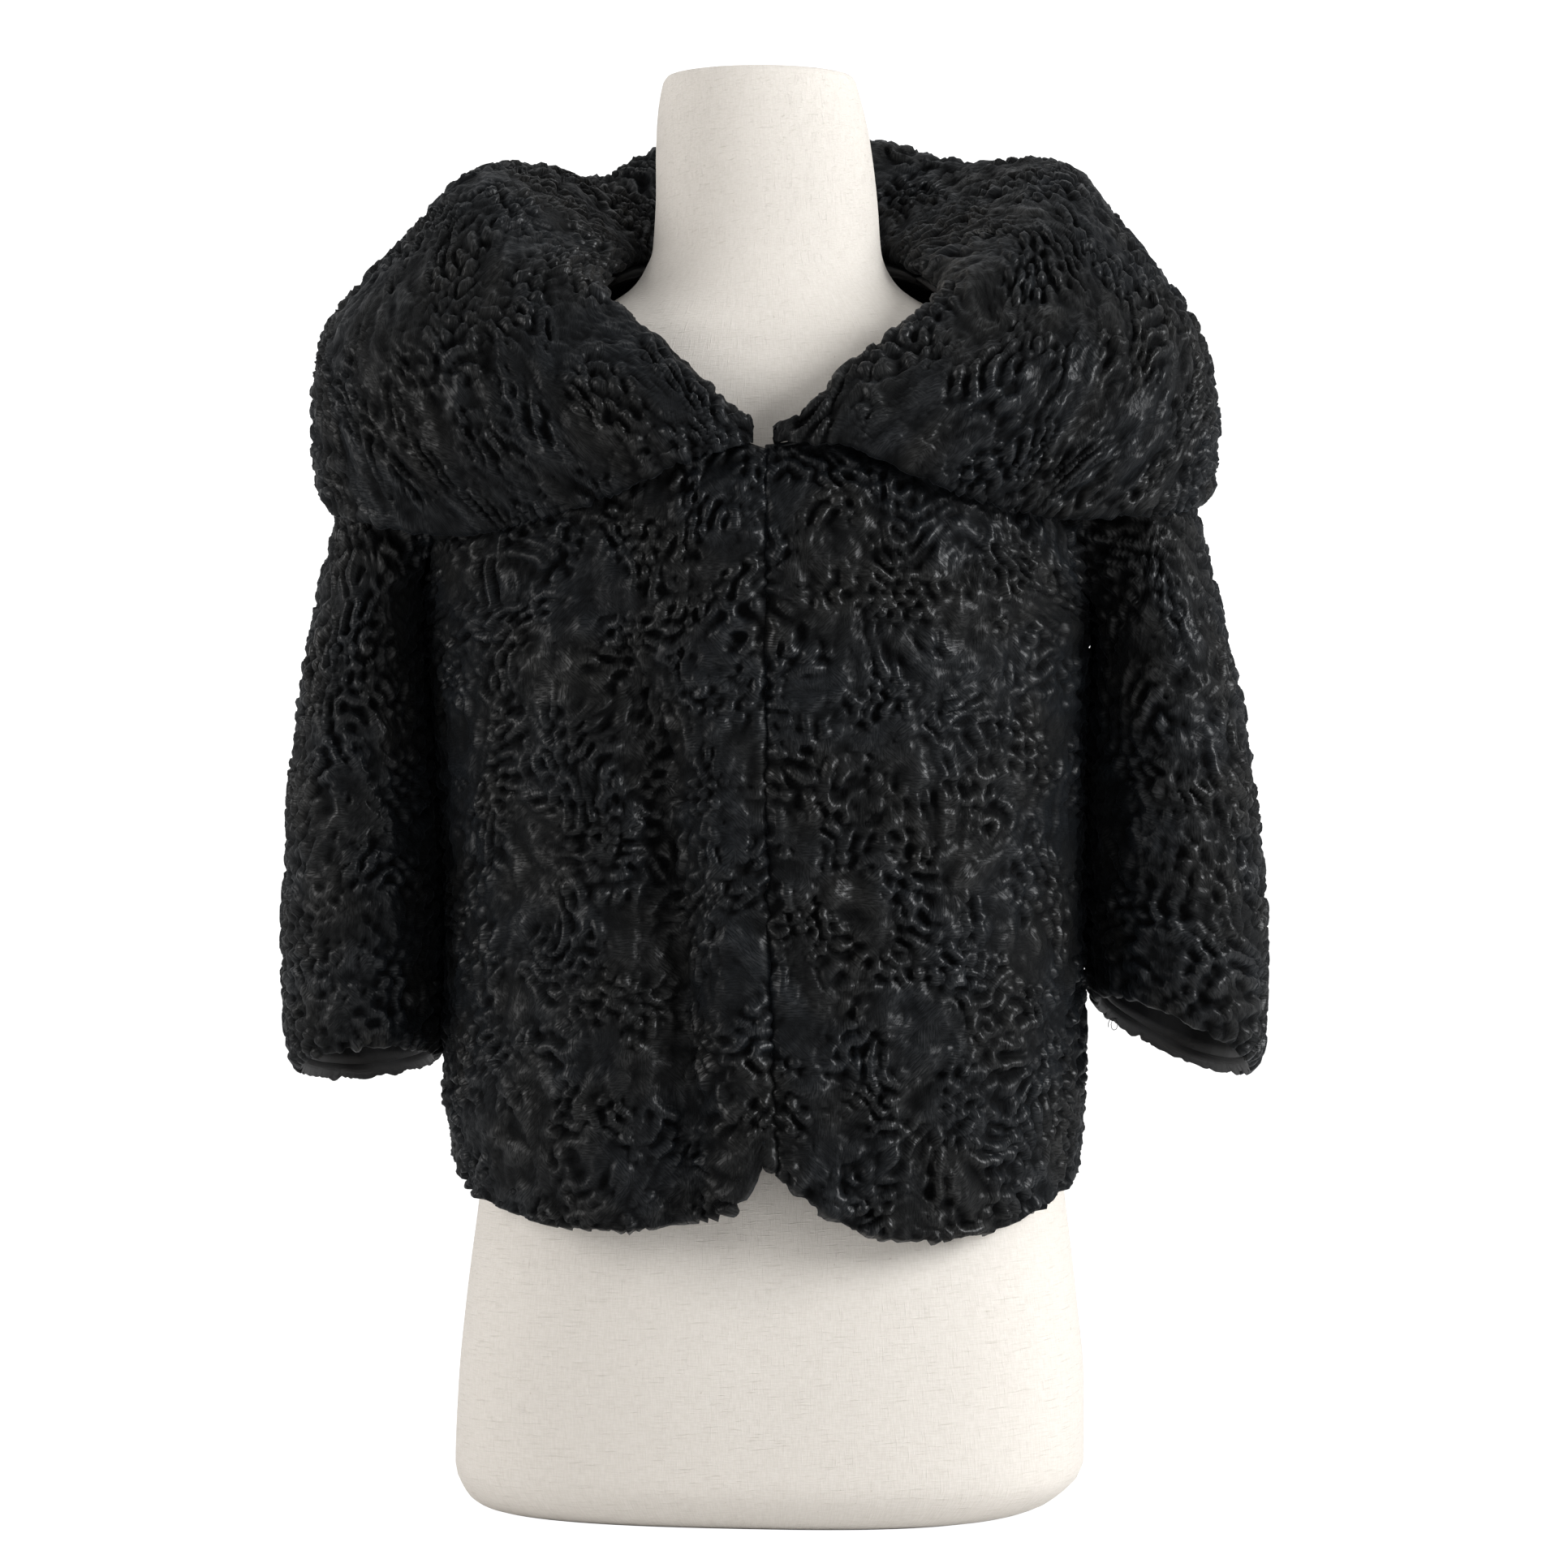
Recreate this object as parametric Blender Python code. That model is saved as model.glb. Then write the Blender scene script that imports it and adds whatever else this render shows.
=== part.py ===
# Cropped jacket of curly lamb fur with a wide rolled collar and bell sleeves, on a limbless dress form.
# Metres, +Z up, the front toward -Y. Angles go round the neck axis in degrees: 0 is the centre front,
# minus turns toward -X, plus toward +X, and 180 is the centre back.

import math

import bpy
import numpy as np

axisX = -0.008  # the garment's axis, left of the form's own middle as worn
bodyWall = 0.0075  # pelt, curl and lining of the body
collarWall = 0.008  # two faces of fur, back to back
tipWall = 0.004  # the collar's two ends thin out to this at the V
tipFade = 16  # degrees
backSeam = 0.0004  # between the collar's two halves at the centre back
liningWall = 0.001
seamGap = 0.0004  # between pieces sewn edge to edge
liningGap = 0.0013
neckGap = 0.0014  # between the body's neckline and the collar sewn on it
bodyRound = 2.2  # exponent of the body's sections, 2 is an ellipse
collarStep = 13  # rows across the collar

# The form: sections by height, half widths from its own middle line, depths to the front and the back
formShape = {
    "z": [0, 2, 8, 24, 68, 114, 168, 200, 240, 290, 340, 390, 440, 490, 530, 560, 590, 610,
          625, 640, 650, 660, 670, 680, 690, 700, 720, 760, 794, 797],
    "left": [157, 163, 170, 176, 174.5, 170.5, 164, 160, 151, 133, 120, 121, 131, 141, 148, 155, 168, 176,
             178, 172, 160, 135, 108, 84, 71, 65, 62.5, 60, 54, 52],
    "right": [134, 146, 160, 174, 174.5, 170.5, 164, 160, 151, 133, 120, 121, 131, 141, 148, 155, 168, 176,
              178, 172, 160, 135, 108, 84, 71, 65, 62.5, 60, 54, 52],
    "front": [96, 102, 109, 116, 116, 115, 112, 108, 101, 94, 92, 100, 113, 125, 124, 117, 108, 101,
              95, 88, 84, 79, 74, 69, 64, 60.5, 57, 54, 52, 50],
    "back": [92, 98, 105, 111, 113, 114, 112, 108, 101, 91, 86, 86, 89, 92, 94, 95, 92, 88,
             85, 80, 77, 73, 70, 66, 62, 59, 56, 54, 52, 50],
    "middle": [-3.4, -3.4, -3.4, -3.4, -3.4, -3.3, -3, -3, -3.5, -4, -4.5, -5, -5.5, -6, -6.5, -7, -7, -7,
               -7, -7, -7, -6.5, -6.5, -6.5, -6.5, -6, -6, -8, -10, -10],
    "round": [2.6, 2.6, 2.6, 2.6, 2.5, 2.4, 2.3, 2.2, 2.1, 2, 2, 2, 2, 2, 2, 2, 2, 2,
              2, 2, 2, 2, 2, 2, 2, 2, 2, 2, 2, 2],
    "turn": [7, 7, 7, 7, 5, 3, 1.5, 1, 0, 0, 0, 0, 0, 0, 0, 0, 0, 0,
             0, 0, 0, 0, 0, 0, 0, 0, 0, 0, 0, 0],
}

# The jacket's body: half widths from the garment's axis and depths, to the fur's outside
bodyShape = {
    "z": [150, 175, 200, 230, 290, 340, 410, 477, 536, 580, 610, 630, 641, 649, 653.5, 658.5, 668.5,
          678.5, 688.5, 700, 712],
    "left": [168, 170, 173, 178, 178, 177, 182, 187, 194, 195, 193, 191, 188, 182, 173, 161.4, 136.3,
             109.3, 85.4, 77.6, 75],
    "right": [175, 176, 177.5, 179, 179, 179, 180, 182, 187, 190, 190, 189, 186, 181, 174, 163, 138.5,
              112, 88, 80, 76],
    "front": [149, 151, 152, 152, 151, 150, 151, 151, 146, 133, 122, 113, 107, 102, 99, 96, 89,
              82, 76, 70, 68],
    "back": [134, 132, 130, 126, 121, 118, 115, 114, 111, 106, 101, 97, 94, 92, 90, 88, 84,
             80, 75, 71, 69],
}

# Hem height by angle on each side, rounded up to the notch at the centre front
hemLine = {
    "angle": [0, 2, 5, 9, 14, 20, 28, 37, 47, 62, 76, 90, 130, 180],
    "left": [204, 194, 183, 177.5, 173.5, 170, 167.5, 168, 170, 176.5, 187, 196, 187, 180],
    "right": [204, 200, 193, 185.5, 176, 167.5, 162.5, 161, 164, 174.5, 187.5, 196, 187, 180],
}
hemFade = 0.09  # how far up the rows still follow the hem

# The neckline by angle, from the V at the front over the shoulder to the back of the neck
neckLine = {
    "angle": [0, 2, 11, 21, 28, 36, 45, 55, 65, 75, 90, 110, 130, 150, 180],
    "left": [581.5, 582.5, 597, 615, 627, 639, 655, 669, 680, 686.5, 690.5, 696, 701, 705, 707],
    "right": [581.5, 582, 590, 609, 620, 633, 647, 664, 677, 685.5, 690.5, 696, 701, 705, 707],
}

# The armhole: the angle at which the front and the back panels end, by height
armHole = {
    "z": [490, 500, 517, 538, 560, 582, 604, 624, 640, 652],
    "frontLeft": [90, 82.5, 75.8, 71.7, 70, 70, 71.4, 74.8, 80.5, 90],
    "frontRight": [90, 79, 70.5, 65.8, 63.5, 63.5, 65.5, 70, 77.5, 90],
    "backLeft": [90, 98, 105.5, 109.5, 111, 111, 109, 105.2, 99.5, 90],
    "backRight": [90, 98, 105.5, 109.5, 111, 111, 109, 105.2, 99.5, 90],
}

# The line where the two fronts meet
centreLine = {"z": [160, 200, 300, 400, 590], "x": [0.5, -0.5, -3.5, -5.5, -6]}

# Soft vertical folds of the body: the angle at each height, how deep (outward is plus) and how wide
bodyFolds = [
    {"z": [160, 200, 280, 345, 400, 440, 486, 520], "angle": [-16, -16, -17, -20, -20.5, -24, -31, -35],
     "out": [-13, -15, -18, -18, -16, -12, -6, 0], "wide": [7, 7, 6.5, 6, 5.5, 5.5, 5, 5]},
    {"z": [160, 280, 400, 520], "angle": [-5, -7, -9, -12], "out": [2, 3, 2.5, 0], "wide": [5, 5, 5, 5]},
    {"z": [160, 280, 400, 520], "angle": [-34, -34, -36, -40], "out": [4, 4, 3, 0], "wide": [9, 9, 8, 8]},
    {"z": [160, 250, 345, 420, 480, 530], "angle": [18, 18, 19, 21, 25, 30],
     "out": [-2, -3, -4.5, -4, -3, 0], "wide": [5, 5, 4.5, 4.5, 5, 5]},
    {"z": [160, 250, 345, 420], "angle": [31, 30, 29, 29], "out": [-2, -3, -3.5, 0], "wide": [5, 5, 4, 4]},
    {"z": [160, 300, 450, 560], "angle": [152, 152, 154, 158], "out": [-6, -6, -4, 0], "wide": [8, 8, 8, 8]},
    {"z": [160, 300, 450, 560], "angle": [-148, -150, -153, -158], "out": [-6, -5, -4, 0],
     "wide": [9, 8, 8, 8]},
    {"z": [160, 300, 450, 560], "angle": [178, 178, 178, 178], "out": [4, 4, 3, 0], "wide": [10, 9, 9, 9]},
]

# The collar's roll and fall, by angle: radius from the garment's axis and height of its middle surface
collarCrest = {
    "angle": [1, 11, 21, 28, 36, 44.5, 51, 56.5, 62, 68, 79, 90, 103, 113, 124, 133, 139, 144, 151, 180],
    "rLeft": [131.5, 133, 127, 124, 127, 134, 143, 153, 159, 158, 154, 157, 155, 153, 153, 147, 139, 132, 125, 116],
    "zLeft": [588, 606, 625, 638, 650, 660, 671, 678, 690, 704, 729, 741, 749, 753, 754, 751, 752, 759,
              769, 778],
    "rRight": [131.5, 138, 135, 133, 132, 138, 146, 151, 156, 160, 164, 170, 175, 172, 161, 149, 140, 133,
               125, 116],
    "zRight": [586, 599, 619, 631, 642, 652.5, 666, 676, 685, 700, 719, 735, 750, 756, 758, 761, 766, 770,
               775, 778],
}
collarFall = {
    "angle": [1, 15, 30, 45, 58, 68, 78, 90, 105, 114, 122, 150, 180],
    "rUpperLeft": [134.5, 142, 143, 157, 178, 184, 187, 197, 196, 195, 183, 152, 143],
    "zUpperLeft": [590.5, 611, 634, 651, 667, 686, 702, 705, 714, 720, 727, 752, 760],
    "rUpperRight": [134.5, 146, 147, 158, 175, 186, 196, 204, 204, 196, 184, 152, 143],
    "zUpperRight": [590.5, 605, 624, 645, 664, 680, 694, 704, 716, 722, 731, 753, 760],
    "rShoulderLeft": [135.5, 150, 160, 180, 210, 228, 237, 241.5, 240, 234, 215, 172, 158],
    "zShoulderLeft": [588.5, 600, 614, 627, 636, 642, 648, 652, 658, 664, 671, 690, 700],
    "rShoulderRight": [135.5, 150, 162, 182, 207, 224, 235, 238.5, 238, 234, 215, 172, 158],
    "zShoulderRight": [588.5, 598, 609, 625, 637, 645, 652, 656, 661, 667, 673, 690, 700],
    "rHangLeft": [136, 152, 166, 185, 212, 234, 245, 247, 247, 243, 224, 177, 161],
    "zHangLeft": [586.5, 587, 588, 587, 585, 588, 595, 602, 603, 603, 603, 610, 615],
    "rHangRight": [136, 152, 166, 186, 210, 234, 246, 249.5, 249, 245, 224, 177, 161],
    "zHangRight": [586.5, 590.5, 588, 589, 588, 592, 599, 606, 606, 605, 604, 610, 615],
    "rEdgeLeft": [136.5, 152, 160, 172, 192, 224, 241, 244.5, 245, 242, 220, 172, 157],
    "zEdgeLeft": [584.5, 575, 557, 545, 537, 543, 553, 562, 560, 555, 547, 541, 538],
    "rEdgeRight": [136.5, 152, 162, 174, 192, 224, 242.5, 247, 247, 243.5, 220, 172, 157],
    "zEdgeRight": [584.5, 583.5, 567, 553, 546, 549, 556, 563, 558, 553, 549, 541, 538],
}

# The sleeves: the outer and the inner line of the hanging tube, and its depths to the front and the back
sleeveShape = {
    "s": [0, 5, 12, 20, 30, 42, 56, 70, 84, 94, 100],
    "outLeft": [0, 203, 223, 236, 244.5, 257, 267, 273, 275.5, 274, 271],
    "outLeftZ": [0, 647, 628, 598, 557, 503, 446, 385, 315, 266, 240],
    "inLeft": [0, 197.6, 197.6, 196.8, 195.2, 191.8, 188.8, 187.2, 186.4, 187, 188],
    "inLeftZ": [0, 484, 471, 456, 437, 410, 375, 340, 300, 269, 249],
    "outRight": [0, 190, 211, 224, 231.5, 246, 260, 268, 272.5, 272, 268],
    "outRightZ": [0, 647, 628, 598, 563, 503, 440, 380, 318, 268, 240],
    "inRight": [0, 178.4, 178.2, 176.8, 175.2, 173.4, 172.3, 172, 172.2, 173.4, 175],
    "inRightZ": [0, 484, 471, 458, 440, 415, 383, 350, 318, 296, 280],
    "front": [0, 62, 66, 69, 71, 74, 77, 78, 78, 77, 76],
    "back": [0, 66, 71, 75, 77, 80, 83, 84, 84, 83, 82],
    "tilt": [0, 0, 0, 0, 0, 0, 0, 0, 1, 6, 12],
}
sleeveRound = 2.15
saddleFade = 0.2  # how soon the cap leaves the armhole's own shape

rings = {
    "bodyRows": [160, 170, 185, 205, 235, 270, 310, 350, 390, 430, 465],
    "upperRows": [490, 500, 517, 538, 560, 582, 604, 624, 640, 652],
    "shoulderRows": [659, 667, 675, 682, 688],
    "neckRows": [690.5, 694, 698, 702, 705.5],
    "sleeve": [0, 2, 5, 9, 14, 20, 27, 35, 44, 53, 62, 71, 80, 88, 94, 100],
    "lining": [20, 27, 35, 44, 53, 62, 71, 80, 88, 94, 98.2],
    "collarLeft": [4.2, 7, 11, 17, 22, 27, 32, 37, 42, 47, 52, 57, 62, 68, 74, 80, 87, 94, 102, 110, 119,
                   128, 136, 142, 148, 156, 168],
    "collarRight": [5, 8, 12, 17, 22, 27, 32, 37, 42, 47, 52, 57, 62, 68, 74, 80, 87, 94, 102, 110, 119,
                    128, 136, 142, 148, 156, 168],
}
frontColumns = 12
backColumns = 22
formColumns = 36

# Diffuse colour and roughness of each material
looks = {
    "fur": ((0.012, 0.013, 0.016, 1.0), 0.55),
    "lining": ((0.016, 0.016, 0.018, 1.0), 0.4),
    "canvas": ((0.76, 0.73, 0.66, 1.0), 0.85),
}


def slopes(xs, ys):
    # tangents of a cubic that never overshoots its points
    steps = np.diff(ys) / np.diff(xs)
    found = np.zeros(len(ys))
    found[0], found[-1] = steps[0], steps[-1]
    for i in range(1, len(ys) - 1):
        a, b = steps[i - 1], steps[i]
        if a * b > 0:
            found[i] = 2 * a * b / (a + b)
    return found


def read(table, name, at, by="z"):
    # a smooth curve through one column of a table
    xs, ys = np.array(table[by], float), np.array(table[name], float)
    at = np.clip(np.asarray(at, float), xs[0], xs[-1])
    m = slopes(xs, ys)
    i = np.clip(np.searchsorted(xs, at, side="right") - 1, 0, len(xs) - 2)
    h = xs[i + 1] - xs[i]
    t = (at - xs[i]) / h
    low = (1 + 2 * t) * (1 - t) ** 2 * ys[i] + t * (1 - t) ** 2 * h * m[i]
    return low + t * t * (3 - 2 * t) * ys[i + 1] + t * t * (t - 1) * h * m[i + 1]


def smooth(t):
    t = np.clip(t, 0, 1)
    return t * t * (3 - 2 * t)


def oval(angle, left, right, front, back, roundness):
    # radius of a rounded section at an angle
    s, c = np.sin(np.radians(angle)), np.cos(np.radians(angle))
    wide = np.where(s < 0, left, right)
    deep = np.where(c > 0, front, back)
    return (np.abs(s / wide) ** roundness + np.abs(c / deep) ** roundness) ** (-1 / roundness)


def bodyRadius(angle, z):
    mm = np.asarray(z) * 1000
    r = oval(angle, read(bodyShape, "left", mm), read(bodyShape, "right", mm),
             read(bodyShape, "front", mm), read(bodyShape, "back", mm), bodyRound)
    for fold in bodyFolds:
        away = (np.asarray(angle) - read(fold, "angle", mm) + 180) % 360 - 180
        r = r + read(fold, "out", mm) * np.exp(-((away / read(fold, "wide", mm)) ** 2))
    return r / 1000


def bodyPoint(angle, z):
    a, r = np.radians(angle), bodyRadius(angle, z)
    return np.stack([axisX + r * np.sin(a), -r * np.cos(a), np.broadcast_to(z, np.shape(r))], -1)


def unit(v):
    return v / np.maximum(np.linalg.norm(v, axis=-1, keepdims=True), 1e-12)


def bodyNormal(angle, z):
    turn = bodyPoint(angle + 1.0, z) - bodyPoint(angle - 1.0, z)
    rise = bodyPoint(angle, z + 0.002) - bodyPoint(angle, z - 0.002)
    return unit(np.cross(turn, rise))


def hemHeight(angle):
    away = np.abs((np.asarray(angle) + 180) % 360 - 180)
    low = read(hemLine, "left", away, "angle")
    return np.where(np.sin(np.radians(angle)) < 0, low, read(hemLine, "right", away, "angle")) / 1000


def neckHeight(angle):
    away = np.abs((np.asarray(angle) + 180) % 360 - 180)
    low = read(neckLine, "left", away, "angle")
    return np.where(np.sin(np.radians(angle)) < 0, low, read(neckLine, "right", away, "angle")) / 1000


def neckAngle(side, zmm):
    # the angle at which the neckline passes a height
    fine = np.linspace(0, 180, 721)
    return float(np.interp(zmm, read(neckLine, side, fine, "angle"), fine))


def neckEdge(angle):
    # the height of the panels' own top edge, which runs straight between their rows
    side = "left" if math.sin(math.radians(angle)) < 0 else "right"
    heights = [z for z in rings["upperRows"] + rings["shoulderRows"] + rings["neckRows"] if z > 580]
    places = [neckAngle(side, z) for z in heights]
    return float(np.interp(abs((angle + 180) % 360 - 180), places, heights)) / 1000


def addMesh(name, points, faces, look):
    mesh = bpy.data.meshes.new(name)
    mesh.from_pydata([tuple(float(v) for v in p) for p in points], [], faces)
    mesh.validate()
    obj = bpy.data.objects.new(name, mesh)
    bpy.context.scene.collection.objects.link(obj)
    colour, rough = looks[look]
    material = bpy.data.materials.new(name)
    material.use_nodes = True
    shader = material.node_tree.nodes["Principled BSDF"]
    shader.inputs["Base Color"].default_value = colour
    shader.inputs["Roughness"].default_value = rough
    mesh.materials.append(material)
    return obj


def wall(name, outer, inner, look, loop=False):
    # one closed body between two grids; rows run up, columns across, and a loop joins its last column
    # to its first
    rows, cols = outer.shape[:2]
    points = np.concatenate([outer.reshape(-1, 3), inner.reshape(-1, 3)])
    span = cols if loop else cols - 1
    half = rows * cols
    faces = []
    for i in range(rows - 1):
        for j in range(span):
            a, b = i * cols + j, i * cols + (j + 1) % cols
            c, d = b + cols, a + cols
            faces.append((a, b, c, d))
            faces.append((half + d, half + c, half + b, half + a))
    for j in range(span):
        a, b = j, (j + 1) % cols
        faces.append((a, half + a, half + b, b))
        a, b = (rows - 1) * cols + j, (rows - 1) * cols + (j + 1) % cols
        faces.append((a, b, half + b, half + a))
    if not loop:
        for i in range(rows - 1):
            a, d = i * cols, (i + 1) * cols
            faces.append((a, d, half + d, half + a))
            b, c = a + cols - 1, d + cols - 1
            faces.append((c, b, half + b, half + c))
    return addMesh(name, points, faces, look)


def buildForm():
    # a stack of rounded sections, closed by a flat base and a flat neck top
    z = np.array(formShape["z"], float)
    angle = np.linspace(0, 360, formColumns, endpoint=False)
    points = []
    for i, height in enumerate(z):
        turned = angle + formShape["turn"][i]
        r = oval(turned, *(formShape[k][i] for k in ("left", "right", "front", "back", "round")))
        a = np.radians(angle)
        x, y = formShape["middle"][i] + r * np.sin(a), -r * np.cos(a)
        points += list(np.stack([x, y, np.full(len(a), height)], -1) / 1000)
    faces = []
    for i in range(len(z) - 1):
        for j in range(formColumns):
            a, b = i * formColumns + j, i * formColumns + (j + 1) % formColumns
            faces.append((a, b, b + formColumns, a + formColumns))
    faces.append(tuple(reversed(range(formColumns))))
    faces.append(tuple((len(z) - 1) * formColumns + j for j in range(formColumns)))
    addMesh("dress_form", points, faces, "canvas")


def rowHeights(base, angle):
    # a row's heights: level above, following the hem below
    lift = 1 - smooth((base - 0.165) / hemFade)
    return base + (hemHeight(angle) - 0.165) * lift


def bends(low, high, t):
    # near an armhole only the columns beside it move, so that the others run straight up
    shift = np.zeros_like(t)
    for end, share in ((low, 1 - t), (high, t)):
        base = 90 * round(end / 90)
        if 0 < abs(end - base) < 30 and abs(base) != 0:
            shift += (end - base) * (share**2.2 - share)
    return shift


def panel(rows, ranges, columns):
    # outer and inner grids of one panel; each row has its own range of angles
    outer, inner = [], []
    for zmm, (low, high) in zip(rows, ranges):
        t = np.linspace(0, 1, columns)
        angle = low + (high - low) * t + bends(low, high, t)
        z = rowHeights(zmm / 1000, angle) if zmm > rows[0] else hemHeight(angle)
        p = bodyPoint(angle, z)
        outer.append(p)
        inner.append(p - bodyWall * bodyNormal(angle, z))
    return np.array(outer), np.array(inner)


def buildFront(side):
    sign = -1 if side == "left" else 1
    rows, ranges = [], []
    for zmm in rings["bodyRows"] + rings["upperRows"] + rings["shoulderRows"]:
        x = float(read(centreLine, "x", zmm)) / 1000 + sign * seamGap - axisX
        depth = float(read(bodyShape, "front", zmm)) / 1000
        low = sign * math.degrees(math.atan2(x, depth))
        neck = neckAngle(side, zmm)
        if zmm > neckLine[side][0]:
            low = max(low, neck)
        high = 90.0
        if armHole["z"][0] <= zmm <= armHole["z"][-1]:
            high = float(read(armHole, "front" + side.title(), zmm))
        gap = math.degrees(seamGap / 2 / float(bodyRadius(sign * high, zmm / 1000)))
        rows.append(zmm)
        ranges.append((sign * low, sign * (high - gap)))
    if sign < 0:
        ranges = [(b, a) for a, b in ranges]
    outer, inner = panel(rows, ranges, frontColumns)
    wall("front_" + ("right" if side == "left" else "left"), outer, inner, "fur")


def buildBack():
    rows, ranges = [], []
    for zmm in rings["bodyRows"] + rings["upperRows"] + rings["shoulderRows"] + rings["neckRows"]:
        ends = []
        for side in ("right", "left"):
            at = 90.0
            if armHole["z"][0] <= zmm <= armHole["z"][-1]:
                at = float(read(armHole, "back" + side.title(), zmm))
            if zmm > neckLine["right"][10]:
                at = neckAngle(side, zmm)
            ends.append(at + math.degrees(seamGap / 2 / float(bodyRadius(at, zmm / 1000))))
        rows.append(zmm)
        ranges.append((ends[0], 360 - ends[1]))
    outer, inner = panel(rows, ranges, backColumns)
    wall("back", outer, inner, "fur")


def armLoop(side):
    # the armhole's edge from the shoulder tip down the front and up the back: its angles and heights
    sign = -1 if side == "left" else 1
    z = np.array(armHole["z"][::-1], float)
    front = sign * np.array(armHole["front" + side.title()][::-1], float)
    back = sign * np.array(armHole["back" + side.title()], float)
    return np.concatenate([front, back[1:-1]]), np.concatenate([z, z[::-1][1:-1]]) / 1000


def sleeveOuter(side, s):
    # rows of the sleeve's outside at the places s, from the armhole to the cuff
    sign = -1 if side == "left" else 1
    angle, z = armLoop(side)
    top, low = armHole["z"][-1] / 1000, armHole["z"][0] / 1000
    share = (top - z) / (top - low)
    turn = np.arccos(1 - 2 * share)
    turn[len(armHole["z"]):] *= -1
    middle = bodyPoint(sign * 90.0, (top + low) / 2)
    edge = bodyPoint(angle, z)
    edge = edge + 0.0005 * unit(middle - edge) + 0.0004 * bodyNormal(angle, z)
    ends = [bodyPoint(sign * 90.0, top), bodyPoint(sign * 90.0, low)]
    start = {"out": abs(ends[0][0]), "outZ": top, "in": abs(ends[1][0]), "inZ": low,
             "front": -edge[:, 1].min(), "back": edge[:, 1].max(), "tilt": 0.0}

    def column(key):
        name = {"out": "out" + side.title(), "outZ": "out" + side.title() + "Z",
                "in": "in" + side.title(), "inZ": "in" + side.title() + "Z"}.get(key, key)
        filled = dict(sleeveShape)
        filled[name] = [start[key] * 1000] + list(sleeveShape[name][1:])
        return lambda at: float(read(filled, name, at, "s")) / 1000

    size = {key: column(key) for key in start}
    c = np.sign(np.cos(turn)) * np.abs(np.cos(turn)) ** (2 / sleeveRound)
    d = np.sign(np.sin(turn)) * np.abs(np.sin(turn)) ** (2 / sleeveRound)

    def section(at):
        out = np.array([sign * size["out"](at), 0, size["outZ"](at)])
        inn = np.array([sign * size["in"](at), 0, size["inZ"](at)])
        depth = np.where(d > 0, size["front"](at), size["back"](at))
        ring = (out + inn) / 2 + c[:, None] * (out - inn) / 2
        ring[:, 1] = -d * depth
        ring[:, 2] += d * size["tilt"](at)
        return ring

    first = section(0)
    rows = []
    for at in s:
        fade = 1 - smooth(at / 100 / saddleFade)
        rows.append(section(at) + (edge - first) * fade)
    return np.array(rows), angle, z


def tubeNormals(grid, sign):
    turn = np.roll(grid, -1, axis=1) - np.roll(grid, 1, axis=1)
    down = np.gradient(grid, axis=0)
    down[1] = grid[2] - grid[1]
    return unit(np.cross(turn, down)) * sign


def buildSleeve(side):
    sign = -1 if side == "left" else 1
    outer, angle, z = sleeveOuter(side, rings["sleeve"])
    away = tubeNormals(outer, sign)
    inner = outer - bodyWall * away
    inner[0] = bodyPoint(angle, z) - bodyWall * bodyNormal(angle, z)
    middle = bodyPoint(sign * 90.0, 0.571)
    inner[0] += 0.0007 * unit(middle - inner[0])
    if sign < 0:
        outer, inner = outer[:, ::-1], inner[:, ::-1]
    name = "right" if side == "left" else "left"
    wall("sleeve_" + name, outer, inner, "fur", loop=True)
    fine, _, _ = sleeveOuter(side, rings["lining"])
    away = tubeNormals(fine, sign)
    cover = fine - (bodyWall + liningGap) * away
    inside = cover - liningWall * away
    if sign < 0:
        cover, inside = cover[:, ::-1], inside[:, ::-1]
    wall("sleeve_lining_" + name, cover, inside, "lining", loop=True)


def swell(angle):
    # 0 at the collar's tips, 1 where it has its full thickness
    away = np.abs((np.asarray(angle) + 180) % 360 - 180)
    return smooth((away - rings["collarLeft"][0]) / tipFade)


def collarProfile(angle):
    # radius and height of the collar's middle surface at the angle, from the seam to the free edge
    away = abs((angle + 180) % 360 - 180)
    side = "Left" if math.sin(math.radians(angle)) < 0 else "Right"
    full = float(swell(angle))
    start = neckEdge(angle) * (1 - full) + float(neckHeight(angle)) * full
    r0 = float(bodyRadius(angle, start)) - bodyWall / 2
    crest = [float(read(collarCrest, k + side, away, "angle")) / 1000 for k in "rz"]
    stand, lean = crest[1] - start, crest[0] - r0
    knots = [(r0, start + neckGap * (1 - full)), (r0 + 0.001, start + 0.004 + 0.0035 * full)]
    if lean > 0.02:
        knots.append((r0 + 0.3 * lean, start + max(0.5 * stand, 0.0128)))
    knots.append((crest[0], max(crest[1], start + 0.0074 + 0.0051 * full)))
    for part in ("Upper", "Shoulder", "Hang", "Edge"):
        knots.append(tuple(float(read(collarFall, k + part + side, away, "angle")) / 1000 for k in "rz"))
    return np.array(knots)


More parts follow.
